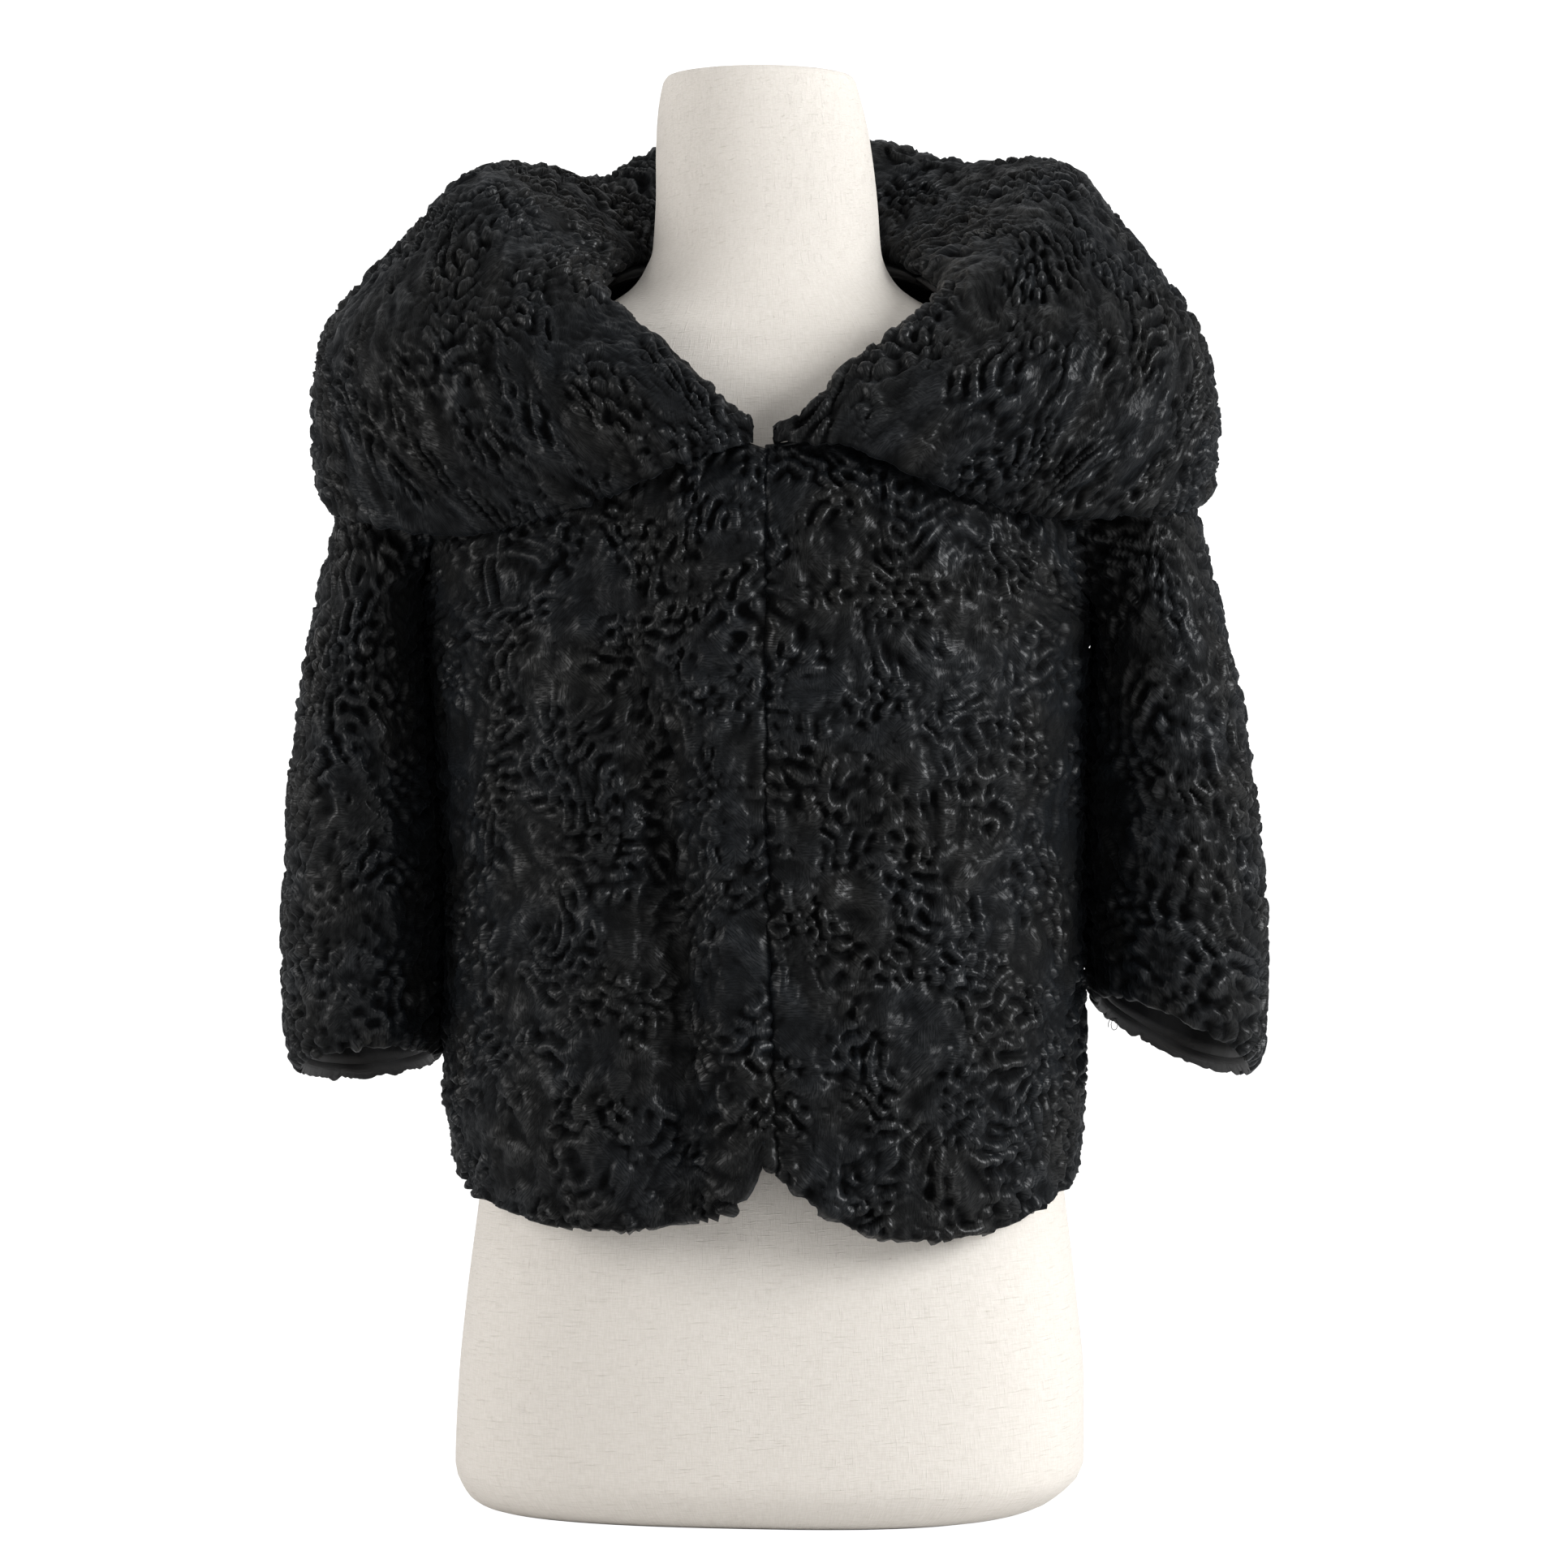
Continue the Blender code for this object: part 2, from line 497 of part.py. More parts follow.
def even(knots, count):
    # points evenly along a smooth line through the knots
    pad = np.vstack([2 * knots[0] - knots[1], knots, 2 * knots[-1] - knots[-2]])
    t = np.linspace(0, 1, 12, endpoint=False)[:, None]
    fine = []
    for i in range(1, len(pad) - 2):
        p0, p1, p2, p3 = pad[i - 1:i + 3]
        chords = [np.sqrt(np.linalg.norm(b - a)) + 1e-9 for a, b in ((p0, p1), (p1, p2), (p2, p3))]
        m1 = chords[1] * ((p1 - p0) / chords[0] - (p2 - p0) / (chords[0] + chords[1])) + (p2 - p1)
        m2 = (p2 - p1) + chords[1] * ((p3 - p2) / chords[2] - (p3 - p1) / (chords[1] + chords[2]))
        fine.append((1 + 2 * t) * (1 - t) ** 2 * p1 + t * (1 - t) ** 2 * m1
                    + t * t * (3 - 2 * t) * p2 + t * t * (t - 1) * m2)
    fine = np.vstack(fine + [knots[-1:]])
    run = np.concatenate([[0], np.cumsum(np.linalg.norm(np.diff(fine, axis=0), axis=1))])
    at = np.linspace(0, run[-1], count)
    return np.stack([np.interp(at, run, fine[:, k]) for k in range(2)], -1)


def gridNormals(grid):
    turn = np.gradient(grid, axis=1)
    rise = np.gradient(grid, axis=0)
    return unit(np.cross(turn, rise))


def buildCollar(side):
    # one half of the collar, from its tip at the V to the seam at the centre back: it stands up from the
    # neckline, rolls over and falls outside the shoulders
    if side == "right":
        angles = rings["collarRight"] + [180]
    else:
        angles = [-180] + [-a for a in rings["collarLeft"][::-1]]
    half = (tipWall + (collarWall - tipWall) * swell(angles)) / 2
    columns = []
    for angle, thick in zip(angles, half):
        line = even(collarProfile(angle), collarStep)
        z = line[:, 1]
        least = bodyRadius(angle, z) + thick + 0.0006
        fall = np.arange(len(z)) >= np.argmax(z)
        r = np.where(fall, np.maximum(line[:, 0], least), line[:, 0])
        a = math.radians(angle)
        columns.append(np.stack([axisX + r * math.sin(a), -r * math.cos(a), z], -1))
    middle = np.stack(columns, 1)
    away = gridNormals(middle)
    turned = np.array(angles, float)
    start = np.array([neckEdge(a) for a in angles]) + neckGap
    away[0] = bodyNormal(turned, start)
    out = away * half[None, :, None]
    middle[0] = bodyPoint(turned, start) - out[0]
    outer, inner = middle + out, middle - out
    seam = -1 if side == "right" else 0
    for face in (outer, inner):
        face[:, seam, 0] = axisX + (backSeam if side == "right" else -backSeam) / 2
    wall("collar_" + ("right" if side == "left" else "left"), outer, inner, "fur")


for old in list(bpy.data.objects):
    bpy.data.objects.remove(old)
buildForm()
for side in ("left", "right"):
    buildFront(side)
buildBack()
for side in ("left", "right"):
    buildSleeve(side)
    buildCollar(side)
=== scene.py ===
# Looks of the curly-lamb jacket on its dress form: fur with modelled curls, satin linings, canvas, studio.
# Metres and +Z up, as the frame. Tables are in millimetres. Angles go round the neck axis in degrees:
# 0 is the centre front, minus turns toward -X, plus toward +X.

import math

import bpy
import numpy as np
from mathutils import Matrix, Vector


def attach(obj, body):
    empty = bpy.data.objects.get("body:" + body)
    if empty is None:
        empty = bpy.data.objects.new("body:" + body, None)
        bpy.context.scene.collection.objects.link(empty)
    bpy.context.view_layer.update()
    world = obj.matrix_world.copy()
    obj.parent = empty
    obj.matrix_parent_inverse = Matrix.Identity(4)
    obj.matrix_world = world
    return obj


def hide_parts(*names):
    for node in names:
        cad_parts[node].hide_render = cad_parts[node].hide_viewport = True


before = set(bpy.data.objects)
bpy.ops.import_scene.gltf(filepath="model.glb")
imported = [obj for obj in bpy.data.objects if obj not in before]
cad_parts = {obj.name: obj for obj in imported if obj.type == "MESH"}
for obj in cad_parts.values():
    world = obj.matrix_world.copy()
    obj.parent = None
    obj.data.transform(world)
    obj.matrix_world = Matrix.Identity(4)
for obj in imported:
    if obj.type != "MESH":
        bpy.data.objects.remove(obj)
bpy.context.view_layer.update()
print("frame loaded:", len(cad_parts), "nodes")


# Curves, sections and grids

def slopes(xs, ys):
    # tangents of a cubic that never overshoots its points
    steps = np.diff(ys) / np.diff(xs)
    found = np.zeros(len(ys))
    found[0], found[-1] = steps[0], steps[-1]
    for i in range(1, len(ys) - 1):
        a, b = steps[i - 1], steps[i]
        if a * b > 0:
            found[i] = 2 * a * b / (a + b)
    return found


def read(table, name, at, by="z"):
    # a smooth curve through one column of a table
    xs, ys = np.array(table[by], float), np.array(table[name], float)
    at = np.clip(np.asarray(at, float), xs[0], xs[-1])
    m = slopes(xs, ys)
    i = np.clip(np.searchsorted(xs, at, side="right") - 1, 0, len(xs) - 2)
    h = xs[i + 1] - xs[i]
    t = (at - xs[i]) / h
    low = (1 + 2 * t) * (1 - t) ** 2 * ys[i] + t * (1 - t) ** 2 * h * m[i]
    return low + t * t * (3 - 2 * t) * ys[i + 1] + t * t * (t - 1) * h * m[i + 1]


def smooth(t):
    t = np.clip(t, 0, 1)
    return t * t * (3 - 2 * t)


def unit(v):
    return v / np.maximum(np.linalg.norm(v, axis=-1, keepdims=True), 1e-12)


def oval(angle, left, right, front, back, roundness):
    # radius of a rounded section at an angle
    s, c = np.sin(np.radians(angle)), np.cos(np.radians(angle))
    wide = np.where(s < 0, left, right)
    deep = np.where(c > 0, front, back)
    return (np.abs(s / wide) ** roundness + np.abs(c / deep) ** roundness) ** (-1 / roundness)


def lengths(grid, axis):
    # distance run along the rows or the columns of a grid of points
    steps = np.linalg.norm(np.diff(grid, axis=axis), axis=-1)
    return np.insert(np.cumsum(steps, axis=axis), 0, 0, axis=axis)


def normals(grid, loop=False):
    if loop:
        turn = np.roll(grid, -1, axis=1) - np.roll(grid, 1, axis=1)
    else:
        turn = np.gradient(grid, axis=1)
    return unit(np.cross(turn, np.gradient(grid, axis=0)))


def gridCells(rows, cols, loop=True):
    # point numbers of a grid, the same with its first column again, and its four-sided cells
    order = np.arange(rows * cols).reshape(rows, cols)
    wide = np.concatenate([order, order[:, :1]], axis=1) if loop else order
    cells = np.stack([wide[:-1, :-1], wide[:-1, 1:], wide[1:, 1:], wide[1:, :-1]], -1)
    return order, wide, cells.reshape(-1, 4)


def spaced(total, count, edges=(0.0, 0.0)):
    # places from 0 to 1 for count cells, closer together at the rolled edges of these widths
    inner = [0.14, 0.38, 0.72]
    start = [edges[0] * k / total for k in inner] if edges[0] else []
    end = [1 - edges[1] * k / total for k in inner[::-1]] if edges[1] else []
    low = edges[0] / total if edges[0] else 0.0
    high = 1 - edges[1] / total if edges[1] else 1.0
    middle = np.linspace(low, high, count + 1 - len(start) - len(end) - bool(start) - bool(end))
    return np.concatenate([[0.0][:bool(start)], start, middle, end, [1.0][:bool(end)]])


# Materials: a small workbench for shader nodes

class Value:
    # a socket that can stand in a sum
    def __init__(self, bench, socket):
        self.bench = bench
        self.socket = socket

    def math(self, kind, *others):
        parts = dict(enumerate((self,) + others))
        return self.bench.add("ShaderNodeMath", {"operation": kind}, parts)

    def __add__(self, other):
        return self.math("ADD", other)

    def __mul__(self, other):
        return self.math("MULTIPLY", other)

    def __sub__(self, other):
        return self.math("SUBTRACT", other)

    def __rsub__(self, other):
        return self.bench.add("ShaderNodeMath", {"operation": "SUBTRACT"}, {0: other, 1: self})

    __radd__ = __add__
    __rmul__ = __mul__


class Bench:
    # one material and its nodes
    def __init__(self, name, values):
        self.material = bpy.data.materials.new(name)
        self.material.use_nodes = True
        self.tree = self.material.node_tree
        self.shader = self.tree.nodes["Principled BSDF"]
        for key, value in values.items():
            self.shader.inputs[key].default_value = value

    def add(self, kind, settings=None, inputs=None, out=0):
        node = self.tree.nodes.new(kind)
        for key, value in (settings or {}).items():
            setattr(node, key, value)
        for key, value in (inputs or {}).items():
            self.put(node.inputs[key], value)
        return Value(self, node.outputs[out])

    def put(self, socket, value):
        if isinstance(value, Value):
            self.tree.links.new(value.socket, socket)
        else:
            socket.default_value = value

    def mix(self, factor, a, b):
        # a colour between two others
        return self.add("ShaderNodeMix", {"data_type": "RGBA"}, {0: factor, 6: a, 7: b}, 2)

    def attribute(self, name, out=2):
        return self.add("ShaderNodeAttribute", {"attribute_name": name}, {}, out)

    def noise(self, vector, scale, detail=2.0, rough=0.5):
        return self.add("ShaderNodeTexNoise", {}, {"Vector": vector, "Scale": scale, "Detail": detail,
                                                  "Roughness": rough})

    def stretched(self, vector, turn, along, across, detail=1.0):
        # a noise drawn out along one direction of the cloth
        place = self.add("ShaderNodeMapping", {"vector_type": "TEXTURE"},
                         {"Vector": vector, "Rotation": (0, 0, turn), "Scale": (along, across, 1)})
        return self.noise(place, 1.0, detail)

    def between(self, value, low, high, to=(0.0, 1.0)):
        return self.add("ShaderNodeMapRange", {"interpolation_type": "SMOOTHSTEP"},
                        {"Value": value, "From Min": low, "From Max": high, "To Min": to[0], "To Max": to[1]})

    def finish(self, colour=None, rough=None, height=None, depth=0.001, strength=1.0):
        for key, value in (("Base Color", colour), ("Roughness", rough)):
            if value is not None:
                self.put(self.shader.inputs[key], value)
        if height is not None:
            bump = self.add("ShaderNodeBump", {}, {"Height": height, "Distance": depth, "Strength": strength})
            self.put(self.shader.inputs["Normal"], bump)
        return self.material


furLook = {
    # painted shade: the dark colour the curls' grooves get in place of their shadow
    "grooveShade": (0.00094, 0.00101, 0.00117, 1),
    "ridge": (0.00484, 0.00546, 0.00624, 1),
    "cool": (0.0050, 0.0071, 0.0096, 1),
    "warm": (0.00562, 0.00546, 0.00452, 1),
    "strandLong": 0.0048,  # metres, one lock of hair that shines as a line
    "strandWide": 0.00075,
    "strandDepth": 0.0007,
    "roughness": 0.58,
    "specular": 0.09,
    "gloss": 0.62,  # the most shine on top of a curl
    "glossRoughness": 0.31,
    "sheen": 0.03,
}


def furMaterial(name, under=False):
    bench = Bench(name, {"Specular IOR Level": furLook["specular"], "Sheen Weight": furLook["sheen"],
                         "Sheen Roughness": 0.4, "Sheen Tint": (0.78, 0.88, 1.0, 1),
                         "Coat Roughness": furLook["glossRoughness"], "Coat IOR": 1.5})
    lie = bench.attribute("lie", 1)
    relief = bench.attribute("relief", 2)
    strand = bench.attribute("strand", 0)
    last = bench.attribute("strand", 3)
    split = bench.add("ShaderNodeSeparateColor", {}, {0: strand})
    shares = [split, Value(bench, split.socket.node.outputs[1]), Value(bench, split.socket.node.outputs[2]),
              last]
    hair = 0.0
    for k, share in enumerate(shares):
        lines = bench.stretched(lie, math.radians(45 * k), furLook["strandLong"], furLook["strandWide"], 2.0)
        hair = share * lines + hair
    fine = bench.noise(lie, 1400.0, 2.0)
    patch = bench.noise(lie, 38.0, 2.0)
    tint = bench.noise(lie, 17.0, 1.0)
    body = bench.mix(bench.between(tint, 0.42, 0.60), furLook["warm"], furLook["cool"])
    top = bench.mix(bench.between(patch, 0.3, 0.7, (0.25, 0.85)), furLook["ridge"], body)
    # painted shade: the colour falls from the tops of the curls to the dark groove colour where the relief is
    # low, where shade falls; it is also darker between the hair lines
    shade = bench.between(relief, 0.05, 0.85)
    lines = bench.between(hair, 0.35, 0.68, (0.45, 1.0))
    colour = bench.mix(shade * lines, furLook["grooveShade"], top)
    rough = furLook["roughness"] + (1 - relief) * 0.2 + (patch - 0.5) * 0.25
    gloss = bench.between(relief, 0.3, 0.95) * bench.between(hair, 0.36, 0.62, (0.15, 1.0))
    bench.put(bench.shader.inputs["Coat Weight"],
              gloss * bench.between(patch, 0.3, 0.62, (0.35 * furLook["gloss"], furLook["gloss"])))
    height = hair + fine * 0.3
    if under:
        curls = bench.noise(bench.add("ShaderNodeVectorMath", {"operation": "ADD"},
                                      {0: lie, 1: bench.noise(lie, 60.0)}), 130.0, 1.0)
        height = bench.between(curls, 0.4, 0.62) * 4 + hair
    return bench.finish(colour, rough, height, furLook["strandDepth"])


liningLook = {"colour": (0.0045, 0.0045, 0.0050, 1), "light": (0.0085, 0.0085, 0.0095, 1), "thread": 0.00045,
              "roughness": 0.46}


def liningMaterial():
    bench = Bench("satinLining", {"Specular IOR Level": 0.35})
    lie = bench.attribute("lie", 1)
    warp = bench.stretched(lie, 0, 0.012, liningLook["thread"])
    weft = bench.stretched(lie, math.pi / 2, 0.02, liningLook["thread"] * 1.3)
    cloud = bench.noise(lie, 30.0, 3.0)
    colour = bench.mix(cloud * 0.6 + warp * 0.4, liningLook["colour"], liningLook["light"])
    rough = liningLook["roughness"] + cloud * 0.12
    return bench.finish(colour, rough, warp + weft * 0.6, 0.00015)


canvasLook = {
    "light": (0.825, 0.775, 0.715, 1),
    "dark": (0.745, 0.695, 0.63, 1),
    "fleck": (0.50, 0.44, 0.36, 1),
    "thread": 0.00085,  # metres from one thread to the next
    "roughness": 0.82,
}


def canvasMaterial():
    bench = Bench("canvas", {"Specular IOR Level": 0.25, "Sheen Weight": 0.08, "Sheen Roughness": 0.6})
    lie = bench.attribute("lie", 1)
    pitch = canvasLook["thread"]
    rows = bench.stretched(lie, 0, 0.006, pitch * 0.8, 2.0)
    posts = bench.stretched(lie, math.pi / 2, 0.006, pitch, 2.0)
    weave = rows * 0.5 + posts * 0.5
    slub = bench.stretched(lie, math.radians(3), 0.016, 0.0011, 2.0)
    slubUp = bench.stretched(lie, math.radians(92), 0.011, 0.0010, 2.0)
    cloud = bench.noise(lie, 9.0, 3.0)
    speck = bench.noise(lie, 260.0, 1.0)
    thread = bench.mix(bench.between(weave, 0.35, 0.65), canvasLook["dark"], canvasLook["light"])
    uneven = bench.mix(bench.between(cloud, 0.3, 0.7, (0.0, 0.22)), thread, canvasLook["dark"])
    streak = bench.between(slub, 0.66, 0.76, (0.0, 0.22)) + bench.between(slubUp, 0.68, 0.78, (0.0, 0.18))
    marked = bench.mix(streak, uneven, canvasLook["fleck"])
    colour = bench.mix(bench.between(speck, 0.76, 0.82, (0.0, 0.5)), marked, canvasLook["fleck"])
    rough = canvasLook["roughness"] + (cloud - 0.5) * 0.1
    height = weave + bench.between(slub, 0.55, 0.75) * 0.7 + bench.between(slubUp, 0.55, 0.75) * 0.5
    return bench.finish(colour, rough, height, 0.00035, 0.8)


materials = {"fur": furMaterial("furCurls"), "under": furMaterial("furUnderside", True),
             "lining": liningMaterial(), "canvas": canvasMaterial()}
print("materials made:", ", ".join(materials))


# Meshes

def makeMesh(name, points, faces, looks, places=None, facts=None):
    mesh = bpy.data.meshes.new(name)
    mesh.from_pydata(points.tolist(), [], faces)
    obj = bpy.data.objects.new(name, mesh)
    bpy.context.scene.collection.objects.link(obj)
    for look in looks:
        mesh.materials.append(materials[look])
    mesh.polygons.foreach_set("use_smooth", [True] * len(mesh.polygons))
    if places is not None:
        mesh.polygons.foreach_set("material_index", places)
    for key, (kind, values) in (facts or {}).items():
        layer = mesh.attributes.new(key, kind, "POINT")
        field = {"FLOAT": "value", "FLOAT_VECTOR": "vector", "FLOAT_COLOR": "color"}[kind]
        layer.data.foreach_set(field, np.ascontiguousarray(values, np.float32).ravel())
    mesh.update()
    return obj


def flatLie(u, v):
    return np.stack([u, v, np.zeros_like(u)], -1)


def curlField(cells, wave, seed, rounds, drive, knuckle, spread, warp, flat):
    # a repeating field, one cell to a millimetre, whose crests wind about like the locks of a lamb's coat
    rng = np.random.default_rng(seed)
    ky = np.fft.fftfreq(cells[0])[:, None] * 2 * np.pi
    kx = np.fft.rfftfreq(cells[1])[None] * 2 * np.pi
    k = np.hypot(ky, kx) * wave / (2 * np.pi)

    def spin(at, wide):
        raw = np.fft.rfft2(rng.standard_normal(cells))
        made = np.fft.irfft2(raw * np.exp(-(((k - at) / wide) ** 2)), cells)
        return made / made.std()

    u = spin(1.0, spread) * 0.5
    gain = drive - (1 - k * k) ** 2
    for _ in range(rounds):
        u = np.clip(u, -1.2, 1.2)
        bend = np.fft.rfft2(knuckle * u * u - u**3)
        u = np.fft.irfft2((np.fft.rfft2(u) + bend) / (1 - gain), cells)
    u = u / np.sqrt((u * u).mean() * 2)
    blur = np.exp(-((k / 0.45) ** 2))
    gy, gx = np.gradient(u)
    bends = [np.fft.irfft2(np.fft.rfft2(part) * blur, cells) for part in (gx * gx - gy * gy, 2 * gx * gy)]
    patch = 0.5 + 0.5 * np.tanh(2.0 * spin(0.0, 0.26) - 0.5)
    strength = 1 + 0.3 * spin(0.3, 0.25)
    return {"curl": u * strength * (1 - flat * patch) + 0.2 * spin(1.6, 0.5) + 0.16 * spin(2.3, 0.5),
            "patch": patch,
            "lump": spin(0.42, 0.2), "across": bends[0], "slant": bends[1], "shiftU": spin(0.0, 0.16) * warp,
            "shiftV": spin(0.0, 0.16) * warp, "lean": spin(0.0, 0.22)}


def sample(field, v, u):
    h, w = field.shape
    v0, u0 = np.floor(v).astype(int), np.floor(u).astype(int)
    fv, fu = v - v0, u - u0
    v0, u0 = v0 % h, u0 % w
    v1, u1 = (v0 + 1) % h, (u0 + 1) % w
    return (field[v0, u0] * (1 - fv) * (1 - fu) + field[v1, u0] * fv * (1 - fu)
            + field[v0, u1] * (1 - fv) * fu + field[v1, u1] * fv * fu)


pelt = {
    "wall": 0.0075,  # as the solids
    "pile": 0.0038,  # the leather lies this far under the solid's face
    "proud": 0.0012,  # the highest curls stand this far over it
    "bulge": 0.0006,
    "lean": 0.45,  # how far the locks lie over to one side, against their height
    "innerStep": 4,  # cells of the outer grid to one of the inner
    "hemLift": 0.0025,  # the leather ends this far above the lowest curls
}


def reliefOf(values, v, u):
    # height of the curls from 0 to 1, and the direction of their hair in four shares
    field = curlField(values["cells"], *(values[k] for k in ("wave", "seed", "rounds", "drive", "knuckle",
                                                            "spread", "warp", "flat")))
    vv, uu = v + sample(field["shiftV"], v, u), u + sample(field["shiftU"], v, u)
    curl = sample(field["curl"], vv, uu)
    patch = sample(field["patch"], vv, uu)
    t = np.clip((curl + values["floor"]) / (1.3 + values["floor"]), 0, 1)
    wide = np.sqrt(t * (2 - t))
    thin = 0.3 + 0.8 * np.clip(curl + 0.1, 0, 1.2) ** 1.3
    lump = sample(field["lump"], vv, uu)
    height = wide + (thin - wide) * values["thin"]
    height = (height - 0.62) * (1 - 0.5 * values["flat"] * patch) + 0.62 + values["lump"] * lump
    height = np.clip(height, -0.1, 1.15)
    across, slant = sample(field["across"], vv, uu), sample(field["slant"], vv, uu)
    size = np.maximum(np.hypot(across, slant), 1e-9)
    cos2, sin2 = across / size, slant / size
    shares = np.stack([np.maximum(p, 0) ** 2 for p in (cos2, sin2, -cos2, -sin2)], -1)
    return height, shares, sample(field["lean"], vv, uu)


def edgeShape(places, edge):
    # how far the leather rolls down, and how much of the curls is left, beside one edge
    near = 1 - np.clip(places / edge["roll"], 0, 1)
    drop = 1 - np.sqrt(1 - near**2)
    keep = edge["keep"] + (1 - edge["keep"]) * smooth(places / edge["fade"])
    return drop, keep


def furPiece(name, node, face, away, lie, values, edges, loop=False, innerLook="lining", wall=None):
    # the outside carries the curls; the inside is a coarser skin that shares the outside's rim
    wall = pelt["wall"] if wall is None else wall
    pile = pelt["pile"]
    alongV, alongU = lengths(face, 0), lengths(face, 1)
    u, v = lie
    height, shares, lean = reliefOf(values, v * 1000, u * 1000)
    drops, keeps = [], []
    for side, edge in edges.items():
        run = {"low": alongV, "high": alongV[-1:] - alongV, "first": alongU, "last": alongU[:, -1:] - alongU}
        drop, keep = edgeShape(run[side], edge)
        drops.append(drop)
        keeps.append(keep)
    drop = 1 - np.prod([1 - d for d in drops], axis=0)
    keep = np.prod(keeps, axis=0)
    base = face - away * (pile + drop * (wall - pile) / 2)[..., None]
    sign = np.sign((normals(face, loop) * away).sum(-1).mean())
    turned = normals(base, loop) * sign
    tall = (height * keep * (pile + pelt["proud"]))[..., None]
    beside = np.roll(face, -1, axis=1) - np.roll(face, 1, axis=1) if loop else np.gradient(face, axis=1)
    beside = unit(beside)
    down = np.cross(beside, away) * sign
    sway = np.clip(lean, -1, 1)[..., None] * beside * 0.7 + down * 0.6
    skin = base + turned * tall + sway * np.clip(tall - pelt["pile"] * 0.5, 0, 1) * pelt["lean"]
    skin = skin + normals(skin, loop) * sign * pelt["bulge"] * np.clip(height * keep, 0, 1)[..., None]
    step = pelt["innerStep"]
    inner = (face - away * np.broadcast_to(wall, face.shape[:2])[..., None])[::step, ::step]
    return closeSkin(name, node, skin, inner, sign, loop, innerLook, flatLie(u, v), height, shares)


def closeSkin(name, node, skin, inner, sign, loop, innerLook, lie, height, shares):
    step = pelt["innerStep"]
    rows, cols = skin.shape[:2]
    order, wide, quads = gridCells(rows, cols, loop)
    coarseRows, coarseCols = inner.shape[:2]
    index = rows * cols + np.arange(coarseRows * coarseCols).reshape(coarseRows, coarseCols)
    rim = np.zeros_like(index, bool)
    rim[0], rim[-1] = True, True
    if not loop:
        rim[:, 0], rim[:, -1] = True, True
    index[rim] = order[::step, ::step][rim]
    back = []
    spanCols = coarseCols if loop else coarseCols - 1
    for i in range(coarseRows - 1):
        for j in range(spanCols):
            nextCol = (j + 1) % coarseCols
            low, high, a, b = i * step, (i + 1) * step, j * step, (j + 1) * step
            ring = [index[i, j]]
            if i == 0:
                ring += [wide[0, c] for c in range(a + 1, b)]
            ring.append(index[i, nextCol])
            if not loop and j == spanCols - 1:
                ring += [order[r, cols - 1] for r in range(low + 1, high)]
            ring.append(index[i + 1, nextCol])
            if i == coarseRows - 2:
                ring += [wide[rows - 1, c] for c in range(b - 1, a, -1)]
            ring.append(index[i + 1, j])
            if not loop and j == 0:
                ring += [order[r, 0] for r in range(high - 1, low, -1)]
            back.append([int(k) for k in (ring[::-1] if sign > 0 else ring)])
    quads = (quads if sign > 0 else quads[:, ::-1]).tolist()
    points = np.concatenate([skin.reshape(-1, 3), inner.reshape(-1, 3)])
    used = np.zeros(len(points), bool)
    used[:rows * cols] = True
    used[index.ravel()] = True
    fresh = np.cumsum(used) - 1
    back = [[int(fresh[k]) for k in ring] for ring in back]

    def coarse(values):
        few = values[::step, ::step].reshape(coarseRows * coarseCols, -1)
        return np.concatenate([values.reshape(rows * cols, -1), few])[used]

    facts = {"lie": ("FLOAT_VECTOR", coarse(lie)), "relief": ("FLOAT", np.clip(coarse(height), 0, 1)),
             "strand": ("FLOAT_COLOR", coarse(shares))}
    places = [0] * len(quads) + [1] * len(back)
    obj = makeMesh(name, points[used], quads + back, ("fur", innerLook), places, facts)
    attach(obj, "root")
    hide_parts(node)
    print(name, "has", len(quads) * 2 + sum(len(r) - 2 for r in back), "triangles")
    return obj


# The dress form

formValues = {"columns": 144, "step": 6.0}
formShape = {
    "z": [0, 2, 8, 24, 68, 114, 168, 200, 240, 290, 340, 390, 440, 490, 530, 560, 590, 610,
          625, 640, 650, 660, 670, 680, 690, 700, 720, 760, 794, 797],
    "left": [157, 163, 170, 176, 174.5, 170.5, 164, 160, 151, 133, 120, 121, 131, 141, 148, 155, 168, 176,
             177, 165, 146, 114, 88, 74, 67.5, 64, 62.5, 60, 54, 52],
    "right": [134, 146, 160, 174, 174.5, 170.5, 164, 160, 151, 133, 120, 121, 131, 141, 148, 155, 168, 176,
              177, 165, 146, 114, 88, 74, 67.5, 64, 62.5, 60, 54, 52],
    "front": [96, 102, 109, 116, 116, 115, 112, 108, 101, 94, 92, 100, 113, 125, 124, 117, 108, 101,
              95, 88, 84, 79, 74, 69, 64, 60.5, 57, 54, 52, 50],
    "back": [92, 98, 105, 111, 113, 114, 112, 108, 101, 91, 86, 86, 89, 92, 94, 95, 92, 88,
             85, 80, 77, 73, 70, 66, 62, 59, 56, 54, 52, 50],
    "middle": [-3.4, -3.4, -3.4, -3.4, -3.4, -3.3, -3, -3, -3.5, -4, -4.5, -5, -5.5, -6, -6.5, -7, -7, -7,
               -7, -7, -7, -6.5, -6.5, -6.5, -6.5, -6, -6, -8, -10, -10],
    "round": [2.6] * 4 + [2.5, 2.4, 2.3, 2.2, 2.1] + [2] * 21,
    "turn": [7] * 4 + [5, 3, 1.5, 1] + [0] * 22,
}


